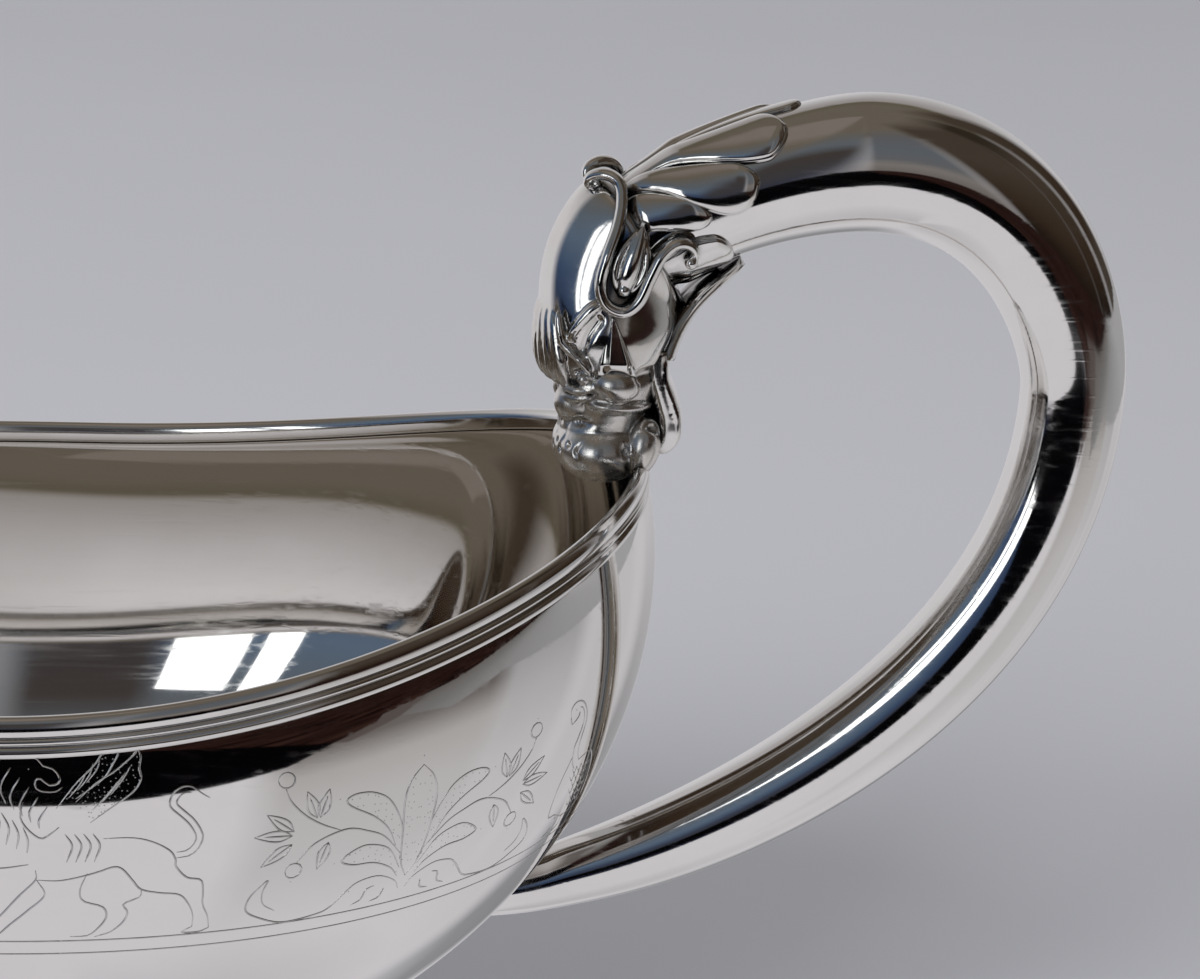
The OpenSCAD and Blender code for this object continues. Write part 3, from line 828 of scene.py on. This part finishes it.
# Each leaf is a list of stations [place along the loop, middle angle, half width in degrees] from
# root to tip, with its lift in mm. The leaves lie over one another, the top one uppermost.
LEAVES = [
    ([(0.0, 180, 14), (0.1, 180, 24), (0.17, 180, 20)], 0.7),
    ([(0.0, 128, 16), (0.13, 130, 26), (0.24, 134, 20)], 0.8),
    ([(0.0, 58, 18), (0.06, 62, 21), (0.13, 76, 20), (0.22, 90, 12)], 0.9),
    ([(0.0, 29, 7), (0.05, 31, 9), (0.12, 42, 15), (0.19, 58, 22), (0.27, 71, 26), (0.34, 75, 22),
      (0.405, 74, 14)], 1.1),
    ([(0.0, 16, 7), (0.14, 16, 13), (0.22, 24, 15), (0.31, 32, 20), (0.39, 36, 24), (0.47, 37, 25),
      (0.548, 37, 17)], 1.15),
    ([(0.0, 0, 4), (0.2, 0, 5), (0.4, 0, 8), (0.55, 0, 12), (0.625, 0, 8)], 0.55)]


def leaf_on_tube(stations, lift, side):
    """One round-ended leaf: a swollen middle with a fine groove along its margin."""
    rows, cols = 90, 61
    keys = spline(stations, rows)
    v = np.linspace(0, 1, rows)
    tip = np.sqrt(np.maximum(0, 1 - np.maximum(0, (v - 0.8) / 0.2)**2))
    q = np.linspace(-1, 1, cols)[None, :]
    half = (keys[:, 2] * np.maximum(tip, 0.03))[:, None]
    a = np.radians(side * (keys[:, 1:2] + half * q))
    s = keys[:, :1] + 0 * q
    reach = np.maximum(0, (v - 0.8) / 0.2)[:, None]
    edge = np.sqrt(np.minimum(1, (q * np.maximum(tip, 0.03)[:, None])**2 + reach**2))
    edge = np.maximum(edge, np.abs(q))
    swell = lift * (0.3 + 0.7 * smooth(v / 0.3)[:, None])
    pillow = swell * (0.5 + 0.5 * np.sqrt(np.maximum(0, 1 - np.minimum(1, edge / 0.92)**2.2)))
    groove = 0.16 * np.exp(-((edge - 0.9) / 0.03)**2)
    height = (pillow - groove * smooth(v / 0.25)[:, None]) * (1 - smooth((edge - 0.95) / 0.05))
    top = tube_point(s, a, height)
    low = tube_point(s, a, -0.25)
    return shell(np.concatenate([top, low[:, ::-1]], axis=1))


def leaf_wrap():
    solids = []
    for stations, lift in LEAVES:
        middle = stations[0][1]
        for side in (1,) if middle in (0, 180) else (-1, 1):
            solids.append(leaf_on_tube(stations, lift, side))
    return make_object("leaf_wrap", joined(solids), CAST_SILVER, "leaf_calyx")


# ---- head ----

# Middle x and z, lean in degrees, half depth and half width, from the nape to the muzzle.
HEAD_SECTIONS = [
    (59.9, 35.2, 57, 6.6, 6.3), (59.3, 34.8, 54, 7.6, 6.4), (58.2, 33.0, 44, 8.1, 6.3),
    (57.2, 29.8, 28, 8.1, 6.6), (56.5, 26.0, 12, 7.2, 7.3), (56.3, 22.6, 3, 6.4, 6.9),
    (56.8, 19.6, 0, 5.3, 6.1), (56.4, 17.0, 0, 4.7, 5.4), (56.0, 14.4, 0, 4.2, 5.2),
    (55.8, 12.2, 0, 3.1, 4.4), (56.0, 10.9, 0, 2.0, 3.0), (56.3, 10.4, 0, 0.8, 1.2)]
HEAD_ROWS = 221


def head_skin(place, turn, lift=0.0):
    """A point of the head's core: place counts its sections, turn is in degrees from the brow."""
    rows = spline(HEAD_SECTIONS, HEAD_ROWS)
    place, turn, lift = np.broadcast_arrays(*(np.asarray(v, float) for v in (place, turn, lift)))
    share = place / (len(HEAD_SECTIONS) - 1) * (HEAD_ROWS - 1)
    x, z, lean, depth, width = (np.interp(share, np.arange(HEAD_ROWS), rows[:, k]) for k in range(5))
    a = np.radians(turn)
    lean = np.radians(lean)
    forward = (depth + lift) * np.cos(a)
    return in_plane(x - forward * np.cos(lean), z + forward * np.sin(lean), -(width + lift) * np.sin(a))


def head_core():
    place = np.linspace(0, len(HEAD_SECTIONS) - 1, 110)[:, None]
    turn = np.linspace(0, 360, 120, endpoint=False)[None, :]
    return shell(head_skin(place, turn))


def strand(points, radius, steps=28):
    """A rope of metal through points [x, z, y], thinner to its ends."""
    path = spline([(x, y, z) for x, z, y in points], steps) + HANDLE_PLACE
    u = np.linspace(0, 1, steps)
    taper = np.sqrt(np.maximum(0.03, 1 - np.abs(2 * u - 1)**3))
    return sweep(path, radius * taper, radius * taper, count=14)


def both(points):
    """A list of points [x, z, y] and its mirror image on the other side of the head."""
    return [points, [(x, z, -y) for x, z, y in points]]


def clay(solids, voxel, rounds):
    """One skin round all the given solids, softened, as (points, faces)."""
    points, faces = joined(solids)
    mesh = new_mesh("clay", points, faces)
    outward(mesh)
    lump = new_object("clay", mesh)
    remesh = lump.modifiers.new("skin", "REMESH")
    remesh.mode = "VOXEL"
    remesh.voxel_size = voxel * MM
    soft = lump.modifiers.new("soft", "SMOOTH")
    soft.factor = 0.5
    soft.iterations = rounds
    depsgraph = bpy.context.evaluated_depsgraph_get()
    result = lump.evaluated_get(depsgraph).to_mesh()
    co = np.zeros(len(result.vertices) * 3)
    result.vertices.foreach_get("co", co)
    faces = [list(p.vertices) for p in result.polygons]
    bpy.data.objects.remove(lump)
    bpy.data.meshes.remove(mesh)
    return co.reshape(-1, 3) / MM, faces


def vertex_normals(points, faces):
    quads = np.array([f if len(f) == 4 else f + f[-1:] for f in faces])
    p = points[quads]
    n = np.cross(p[:, 2] - p[:, 0], p[:, 3] - p[:, 1])
    total = np.zeros_like(points)
    for k in range(4):
        np.add.at(total, quads[:, k], n)
    return unit(total)


def tooled(solid, strokes):
    """Presses strokes into a skin, or raises them: each is (points [x, z, y], width, depth)."""
    points, faces = solid
    normals = vertex_normals(points, faces)
    middle = points.mean(0)
    if np.mean(np.sum((points - middle) * normals, axis=1)) < 0:
        normals = -normals
    move = np.zeros(len(points))
    for line, width, depth in strokes:
        for half in both(line):
            path = spline([(x, y, z) for x, z, y in half], 40) + HANDLE_PLACE
            low = path.min(0) - 3 * width
            high = path.max(0) + 3 * width
            near = np.where(np.all((points > low) & (points < high), axis=1))[0]
            if not len(near):
                continue
            gap = np.linalg.norm(points[near][:, None] - path[None], axis=2).min(1)
            move[near] -= depth * np.exp(-(gap / width)**2)
    return points + normals * move[:, None], faces


def lock(turn, drop):
    """One lock of hair that falls over the brow, swells out and curls in at its end."""
    place = spline([(3.7, 0), (4.05, 0), (4.45, 0), (4.85, 0), (5.25, 0), (5.6 + drop, 0)], 30)[:, 0]
    run = np.linspace(0, 1, 30)
    lean = turn * np.interp(run, [0, 0.25, 0.6, 1], [0.66, 0.84, 1.0, 1.0])
    lift = np.interp(run, [0, 0.2, 0.5, 0.75, 0.9, 1], [-0.6, -0.15, 0.15, 0.35, 0.45, 0.0])
    path = head_skin(place, lean, lift)
    taper = np.sqrt(np.maximum(0.05, 1 - np.abs(2 * run - 1)**4))
    return sweep(path, 0.8 * taper, 0.62 * taper, unit(path[15] - in_plane(56.5, 24.0)), 14)


def head_solids():
    solids = [head_core()]
    solids += [lock(11.5 * k, 0.04 * abs(k)) for k in range(-4, 5)]
    lines = [
        ([(51.3, 28.6, -5.6), (51.5, 26.8, -5.9), (52.0, 25.2, -6.1), (53.5, 23.9, -6.7),
          (54.8, 22.0, -6.9)], 0.5),
        ([(55.9, 29.9, -6.8), (54.5, 28.9, -6.8), (53.1, 27.0, -6.4), (52.2, 25.2, -5.9)], 0.55),
        ([(52.0, 20.7, -4.9), (53.2, 20.5, -5.9), (54.7, 20.9, -6.5), (55.5, 21.6, -6.8)], 0.5),
        ([(51.9, 19.6, -4.2), (53.4, 19.5, -5.4), (55.0, 19.9, -6.2)], 0.45)]
    for line, radius in lines:
        solids += [strand(half, radius) for half in both(line)]
    # The eyes, cheeks, muzzle pads and jaw corners.
    for x, z, y, sizes, lean in ((54.1, 21.7, 6.0, (0.8, 0.7, 0.7), 0),
                                 (57.3, 21.3, 5.9, (2.5, 2.3, 1.9), 6),
                                 (53.3, 18.6, 3.3, (2.1, 2.0, 2.2), -15),
                                 (60.2, 14.2, 3.3, (1.9, 2.8, 3.2), 10)):
        solids += [ball(in_plane(x, z, side * y), sizes, lean) for side in (-1, 1)]
    solids.append(ball(in_plane(57.2, 18.8, 0), (4.7, 6.7, 1.5), lean=4))
    solids.append(ball(in_plane(56.3, 13.5, 0), (5.1, 6.6, 3.9)))
    return solids


def head_strokes():
    """The chased lines: the mouth, the crease behind the muzzle, its wrinkles and the eyelids."""
    strokes = [
        ([(52.4, 16.6, -3.8), (54.5, 16.8, -5.6), (56.0, 17.0, -6.4), (57.1, 17.6, -6.5),
          (59.7, 17.4, -6.0), (61.6, 16.6, -4.8)], 0.5, 1.1),
        ([(58.9, 16.8, -5.6), (58.4, 14.6, -5.9), (58.6, 12.8, -5.2), (58.8, 11.6, -4.2)], 0.4, 0.7),
        ([(55.2, 27.9, -7.0), (54.2, 26.3, -6.9), (53.5, 24.4, -6.6)], 0.5, 0.5),
        ([(53.2, 22.3, -6.0), (54.0, 22.7, -6.6), (54.9, 22.2, -6.8)], 0.25, 0.35),
        ([(53.3, 21.0, -5.9), (54.2, 20.8, -6.6), (55.0, 21.2, -6.8)], 0.25, 0.3),
        ([(55.3, 19.5, -6.2), (57.4, 19.4, -7.2), (60.0, 20.0, -6.6)], 0.3, 0.4),
        ([(60.2, 21.7, -6.1), (61.6, 21.9, -5.2)], 0.85, 1.3)]
    for k in range(5):
        y = -1.2 - 1.05 * k
        x = 51.2 + 0.1 * k + 0.12 * k * k
        bend = 0.35 * (-1)**k
        strokes.append(([(x + 0.5, 16.3, y), (x + bend, 15.1, y - 0.2), (x + 0.2 - bend, 13.9, y),
                         (x + 0.9, 12.8, y + 0.2)], 0.24, 0.32))
    for k in range(3):
        y = -1.4 - 1.4 * k
        strokes.append(([(52.0 + 0.5 * k, 19.5, y), (52.4 + 0.6 * k, 17.6, y - 0.4)], 0.26, 0.28))
    return strokes


def head_cast():
    skin = clay(head_solids(), 0.14, 3)
    skin = tooled(skin, head_strokes())
    return make_object("head_cast", skin, HEAD_SILVER, "beast_head")


# ---- jaw, throat leaf, ears ----

# Middle x and z, half depth and half width, from the throat down.
JAW_SECTIONS = [(61.5, 24.2, 1.3, 4.8), (61.5, 21.3, 1.3, 4.7), (62.2, 19, 1.4, 4.6), (62.8, 17, 1.45, 4.5),
                (62.8, 15.2, 1.35, 4.4), (62.0, 13.8, 1.1, 4.0), (61.0, 13.1, 0.5, 3.2)]


def jaw_cast():
    rows = spline(JAW_SECTIONS, 60)
    a = np.linspace(0, TAU, 64, endpoint=False)
    # A squared oval, so that each side ends in a crisp edge.
    c = np.sign(np.cos(a)) * np.abs(np.cos(a))**0.7
    s = np.sign(np.sin(a)) * np.abs(np.sin(a))**0.55
    rings = [in_plane(x - d * c, z + 0 * a, -w * s) for x, z, d, w in rows]
    body = shell(rings)
    edge = [(x + 0.55 * d, z, -w + 0.35) for x, z, d, w in JAW_SECTIONS]
    parts = [body] + [strand(line, 0.42, steps=50) for line in both(edge)]
    return make_object("jaw_cast", clay(parts, 0.15, 3), CAST_SILVER, "lower_jaw")


LEAF_LINE = [(62.4, 23.4), (63.9, 29.2), (67, 30.8), (69.8, 32.6)]


def throat_leaf():
    """A dished leaf with a vein, that runs out from the neck and ends in a round tip."""
    rows, cols = 60, 40
    u = np.linspace(0, 1, rows)
    mid = cubic(*np.array(LEAF_LINE, float), u[:, None])
    d = unit(np.gradient(mid, axis=0))
    n = np.stack([-d[:, 1], d[:, 0]], 1)
    q = np.linspace(-1, 1, cols)[None, :]
    half = 4.6 * np.sqrt(np.maximum(0.002, 1 - u**2.4))[:, None]
    y = half * q
    dish = 0.5 * (1 - q**2) - 0.25 * np.exp(-(q / 0.12)**2)
    thick = (1.1 - 0.6 * u)[:, None]
    round_edge = np.sqrt(np.maximum(0, 1 - np.abs(q)**4))
    upper, lower = (in_plane(mid[:, :1] + n[:, :1] * off, mid[:, 1:] + n[:, 1:] * off, y)
                    for off in (thick * round_edge * 0.9 + dish * 0.4,
                                -thick * round_edge * 0.9 + dish * 0.2))
    rings = np.concatenate([upper, lower[:, ::-1]], axis=1)
    return make_object("throat_leaf_cast", shell(rings), CAST_SILVER, "throat_leaf")


def ear_cast(side, node):
    """A pointed ear with a sharp ridge down its middle and a raised rear edge."""
    v = np.linspace(0, 1, 60)[:, None]
    q = np.linspace(-1, 1, 61)[None, :]
    half = 1.85 * (1 - v**1.3) + 0.1
    x = 57.2 - 0.55 * v + half * q
    z = 22.4 + 5.9 * v + 0 * q
    ridge = np.where(q < -0.35, (q + 1) / 0.65, 1 - 0.3 * (q + 0.35) / 1.35)
    lip = 0.28 * np.exp(-((q - 0.82) / 0.12)**2) + 0.12 * np.exp(-((q + 0.88) / 0.1)**2)
    crest = (0.62 * ridge + lip) * (1 - 0.4 * v) * smooth((1 - np.abs(q)) / 0.1) * smooth((v + 0.03) / 0.25)
    y = side * (CHEEK_R - 0.25 - 0.15 * v + crest)
    top = in_plane(x, z, y)
    low = in_plane(x, z, side * (CHEEK_R - 1.3) + 0 * x)
    rings = np.concatenate([top, low[:, ::-1]], axis=1)
    return make_object(node + "_cast", shell(rings), CAST_SILVER, node)


# ---- scrolls and buds ----

SCROLL_PATH = [
    (54.9, 40.6), (54.4, 40.2), (53.9, 40.6), (54.2, 41.3), (55.3, 41.7), (56.4, 41.5), (57.1, 40.7),
    (57.2, 39.2), (56.8, 37.2), (55.9, 34.6), (55.3, 31.8), (55.9, 29.7), (57.6, 29.0), (59.1, 30.1),
    (60.2, 32.6), (61.2, 34.7), (62.5, 35.8), (63.8, 35.7), (64.5, 34.8), (64.1, 33.9)]


def scroll_wire(side, node):
    """A ribbon that starts in a volute on the nape, turns round the bud and ends in another volute."""
    path = spline(SCROLL_PATH, 220)
    run = run_length(path) / run_length(path)[-1]
    y = 2.1 + 5.3 * smooth(run / 0.42)
    y = y - 0.9 * smooth((run - 0.8) / 0.2)
    centre = in_plane(path[:, 0], path[:, 1], side * y)
    width = 0.62 * (0.6 + 0.4 * smooth(run / 0.12)) * (0.65 + 0.35 * smooth((1 - run) / 0.12))
    wire = sweep(centre, width, width * 1.35, count=20)
    knobs = [ball(centre[0], (0.5, 0.6, 0.5), count=12), ball(centre[-1], (0.7, 0.9, 0.7), count=12)]
    return make_object(node + "_wire", clay([wire] + knobs, 0.12, 2), CAST_SILVER, node)


def bud_cast(side, node):
    """A long pod that opens between two narrow leaves."""
    u = np.linspace(0, 1, 40)
    x = 57.3 + 2.0 * u
    z = 30.3 + 7.2 * u
    swell = np.sin(np.pi * np.clip(u, 0.02, 0.98)**0.75)**0.75
    pod = sweep(in_plane(x, z, side * 7.0), 1.1 * swell + 0.05, 1.2 * swell + 0.05, count=24)
    leaves = []
    for bend in (-1, 1):
        w = 1.45 * np.sin(np.pi * u**0.85) * bend
        line = in_plane(x + 0.95 * w, z - 0.3 * w, side * (7.0 - 0.3 * u))
        leaves.append(sweep(line, 0.42 * swell + 0.04, 0.85 * swell + 0.04, count=18))
    bead = ball(in_plane(57.6, 31.2, side * 7.3), (0.75, 0.9, 0.75), count=14)
    return make_object(node + "_cast", clay([pod] + leaves + [bead], 0.11, 1), CAST_SILVER, node)


# ---- stage, light, camera ----

def area_light(name, place, target, size, power, colour):
    data = bpy.data.lights.new(name, "AREA")
    data.shape = "RECTANGLE"
    data.size = size[0] * MM
    data.size_y = size[1] * MM
    data.energy = power
    data.color = colour
    lamp = new_object(name, data)
    lamp.location = Vector(place) * MM
    lamp.rotation_euler = (Vector(target) - Vector(place)).to_track_quat("-Z", "Y").to_euler()
    lamp.visible_camera = False
    lamp.visible_glossy = False
    return lamp


def stage_sheet(name, corners, material):
    mesh = new_mesh(name, corners, [list(range(len(corners)))])
    mesh.materials.append(material)
    sheet = new_object(name, mesh)
    return sheet


def plain_emission(name, colour, strength=1.0):
    m = bpy.data.materials.new(name)
    m.use_nodes = True
    tree = m.node_tree
    tree.nodes.clear()
    glow = add(tree, "Emission", Color=(*colour, 1), Strength=strength)
    add(tree, "OutputMaterial", Surface=glow.outputs[0])
    return m


def toned_emission(m, tone, stops):
    """Colours a glowing material by a tone that varies over it."""
    tree = m.node_tree
    fill(tree, tree.nodes["Emission"], Color=ramp(tree, tone, stops))
    return m


def graded_emission(name, start, end, stops):
    """A pale table that grows lighter along Y from start to end, its darker end painted shade."""
    m = plain_emission(name, stops[-1][1])
    tree = m.node_tree
    y = add(tree, "SeparateXYZ", object_coords(tree)).outputs["Y"]
    share = math_node(tree, "MULTIPLY_ADD", y, 1 / ((end - start) * MM), -start / (end - start))
    return toned_emission(m, share, stops)


def grained_emission(name, low, high, scale):
    """A dark table top whose grain runs along X."""
    m = plain_emission(name, high)
    tree = m.node_tree
    coords = stretched(tree, object_coords(tree), (0, 0, 0), (scale * 0.2, scale, scale))
    return toned_emission(m, noise(tree, coords, 1.0, 3), [(0.38, low), (0.62, high)])


def only_reflected(sheet):
    sheet.visible_camera = False
    sheet.visible_diffuse = False
    sheet.visible_shadow = False


def room():
    """The room that the silver mirrors: pale paper below, a dark room in front, a dull ceiling."""
    world = bpy.data.worlds.new("room")
    bpy.context.scene.world = world
    world.use_nodes = True
    tree = world.node_tree
    tree.nodes.clear()
    x, y, z = add(tree, "SeparateXYZ", add(tree, "TexCoord").outputs["Generated"]).outputs
    height = math_node(tree, "MULTIPLY_ADD", math_node(tree, "ARCSINE", z), 1 / np.pi, 0.5)
    turn = math_node(tree, "ARCTAN2", x, math_node(tree, "MULTIPLY", y, -1.0))
    turn = math_node(tree, "MULTIPLY_ADD", turn, 1 / TAU, 0.5)

    def bands(*stops):
        """Colours by height, as (degrees above the horizon, colour)."""
        return ramp(tree, height, [((e + 90) / 180, c) for e, c in stops])

    def within(seen, colours, *edges):
        """Lays other bands over a sector that starts, is full, starts to fade and ends at the edges."""
        share = ramp(tree, turn, [((a + 180) / 360, grey(v)) for a, v in zip(edges, (0.0, 1.0, 1.0, 0.0))])
        return mix_node(tree, seen, colours, share)

    paper = (0.60, 0.585, 0.61)
    # Paper seen straight down is darker: the bowl's shadow on it, painted into the room.
    paper_in_bowl_shadow = (0.45, 0.445, 0.46)
    paper_right = (0.51, 0.50, 0.515)
    night = (0.003, 0.004, 0.012)
    black = (0.004, 0.003, 0.003)
    soot = (0.010, 0.006, 0.004)
    coffee = (0.024, 0.018, 0.012)
    brown = (0.030, 0.019, 0.012)
    umber = (0.050, 0.038, 0.028)
    blue_grey = (0.098, 0.112, 0.128)
    ceiling = (0.122, 0.104, 0.082)
    # Looking down, the paper darkens into the bowl's painted shadow.
    under = [(-90, paper_in_bowl_shadow), (-60, paper)]
    above = [(41, (0.34, 0.32, 0.32)), (50, (0.28, 0.26, 0.25)), (54, (0.10, 0.085, 0.06)), (64, ceiling)]
    seen = bands(*under, (-32, paper), (12, (0.60, 0.585, 0.60)), (28, (0.46, 0.45, 0.46)), *above)
    left = bands(*under, (-32, paper), (-16, paper), (-14, night), (-4, (0.024, 0.038, 0.076)),
                 (4, (0.036, 0.060, 0.118)), (16, (0.090, 0.128, 0.184)), (30, blue_grey), (52, ceiling),
                 (64, (0.18, 0.155, 0.135)))
    dim = bands((-16, paper), (-14, night), (-6, (0.024, 0.030, 0.050)), (8, (0.040, 0.038, 0.042)),
                (30, (0.046, 0.038, 0.035)), (42, blue_grey), (64, ceiling))
    middle = bands(*under, (-32, paper), (-16, paper), (-14, black), (-9, black),
                   (-5, (0.13, 0.115, 0.107)), (8, (0.18, 0.165, 0.155)), (16, (0.11, 0.112, 0.12)),
                   (31, blue_grey), (50, (0.10, 0.10, 0.107)), (64, ceiling))
    shadow = bands((-64, paper), (-54, (0.40, 0.40, 0.415)), (-46, (0.27, 0.27, 0.285)),
                   (-36, (0.24, 0.24, 0.25)), (-26, (0.34, 0.335, 0.345)), (-14, paper_right),
                   (14, (0.50, 0.49, 0.50)), *above)
    right = bands(*under, (-42, (0.50, 0.49, 0.50)), (-30, (0.47, 0.46, 0.465)), (-21, (0.40, 0.385, 0.38)),
                  (-14, (0.14, 0.125, 0.12)), (-5, (0.10, 0.09, 0.085)), (-3, soot), (9, brown),
                  (36, umber), (62, umber), (76, ceiling))
    right_back = bands(*under, (-32, paper_right), (-20, (0.42, 0.41, 0.42)), (-10, (0.31, 0.31, 0.32)),
                       (-5, (0.31, 0.31, 0.32)), (-3, soot), (9, brown), (36, umber), (52, coffee),
                       (63, coffee), (76, ceiling))
    far_right = bands(*under, (-32, paper_right), (-5, paper_right), (-3, (0.05, 0.04, 0.032)),
                      (4, (0.05, 0.04, 0.032)), (12, brown), (60, umber), (74, ceiling))
    seen = within(seen, left, -112, -96, -4, 4)
    seen = within(seen, dim, -20, -14, -3, 3)
    seen = within(seen, middle, -2, 5, 24, 32)
    seen = within(seen, shadow, 136, 150, 168, 178)
    seen = within(seen, right, 24, 32, 76, 84)
    seen = within(seen, right_back, 72, 80, 100, 112)
    seen = within(seen, far_right, 104, 112, 132, 146)
    mirror = add(tree, "Background", Color=seen, Strength=1.0)
    plain = add(tree, "Background", Color=(0.865, 0.87, 0.90, 1), Strength=0.59)
    glossy = add(tree, "LightPath").outputs["Is Glossy Ray"]
    mix = add(tree, "MixShader", glossy, plain.outputs[0], mirror.outputs[0])
    add(tree, "OutputWorld", Surface=mix.outputs[0])


def reflected_tables():
    """In the silver the paper ends in an uneven edge, with a dark table in front and a pale one beyond; the
    sheets glow with their seen brightness instead of being lit.
    """
    far = 2500
    dark = plain_emission("dark_table", (0.0012, 0.001, 0.0014))
    brown = grained_emission("brown_table", (0.004, 0.0016, 0.0014), (0.030, 0.014, 0.011), 30)
    # Painted shade: a dim strip along the paper's front edge.
    edge = plain_emission("paper_edge_shade", (0.09, 0.074, 0.068))
    # Painted shade: the pale table darkens towards the front.
    pale = graded_emission("pale_table", -290, 200, [
        (0.0, (0.12, 0.112, 0.108)), (0.17, (0.165, 0.16, 0.158)), (0.33, (0.24, 0.238, 0.24)),
        (0.6, (0.29, 0.288, 0.295)), (1.0, (0.34, 0.337, 0.345))])
    left, inner, corner, outer = (215, -262), (300, -250), (420, -300), (385, 1500)
    front = [left, (300, -290), (342, -325), (420, -325), (511, -290), (620, -285), (far, -280)]
    tables = [
        ("table_left", [(-far, -far), (215, -far), left, (150, -228), (-far, -222)], dark),
        ("table_front", [(far, -far)] + front[::-1] + [(215, -far)], brown),
        ("paper_edge_shade", front[:4] + [corner, inner, (215, -240)], edge),
        ("table_right", [inner, corner] + front[3:] + [(far, 1500), outer, (385, -125), (285, -160)], pale)]
    for name, corners, material in tables:
        only_reflected(stage_sheet(name, [(x, y, 1) for x, y in corners], material))


def window_panes():
    """The two bright panes that the silver mirrors."""
    across = unit(np.array([90, -55, 0.0]))
    upward = np.array([0, 0, 68.0])
    middle = np.array([-110, -200, 128.0])
    glow = plain_emission("pane_glow", (0.97, 0.99, 1.0), 1.7)
    for name, start, end in (("wide_pane", -4, 51), ("narrow_pane", -46, -16)):
        low = middle + across * start
        high = middle + across * end
        corners = [low - upward, high - upward, high + upward, low + upward]
        only_reflected(stage_sheet(name, corners, glow))


def stage():
    far = 4000
    corners = [(-far, -far, 0), (far, -far, 0), (far, far, 0), (-far, far, 0)]
    floor = stage_sheet("floor", corners, pale_floor())
    floor.visible_glossy = False
    reflected_tables()
    window_panes()
    area_light("window", LAMP_PLACE, LAMP_TARGET, LAMP_SIZE, LAMP_POWER, (0.97, 0.98, 1.0))


def camera():
    azimuth, elevation, roll = np.radians(CAMERA_TURN)
    right = np.array([np.cos(azimuth), np.sin(azimuth), 0])
    level = np.array([np.sin(azimuth), -np.cos(azimuth), 0])
    back = level * np.cos(elevation) + np.array([0, 0, np.sin(elevation)])
    up = np.cross(back, right)
    across = right * np.cos(roll) + up * np.sin(roll)
    upward = -right * np.sin(roll) + up * np.cos(roll)
    data = bpy.data.cameras.new("camera")
    data.sensor_width = 36.0
    data.lens = CAMERA_LENS
    data.clip_start = 0.01
    cam = new_object("camera", data)
    turn = Matrix(np.stack([across, upward, back], axis=1).tolist()).to_4x4()
    cam.matrix_world = Matrix.Translation(Vector(CAMERA_PLACE) * MM) @ turn
    bpy.context.scene.camera = cam


bowl_sheet()
rim_wire()
frieze()
foot_wire()
foot_body()
foot_knop()
handle_tube()
leaf_wrap()
head_cast()
jaw_cast()
throat_leaf()
for side, word in ((-1, "left"), (1, "right")):
    ear_cast(side, "ear_" + word)
    scroll_wire(side, "scroll_" + word)
    bud_cast(side, "bud_" + word)
stage()
room()
camera()
bpy.context.scene.view_settings.view_transform = "Standard"
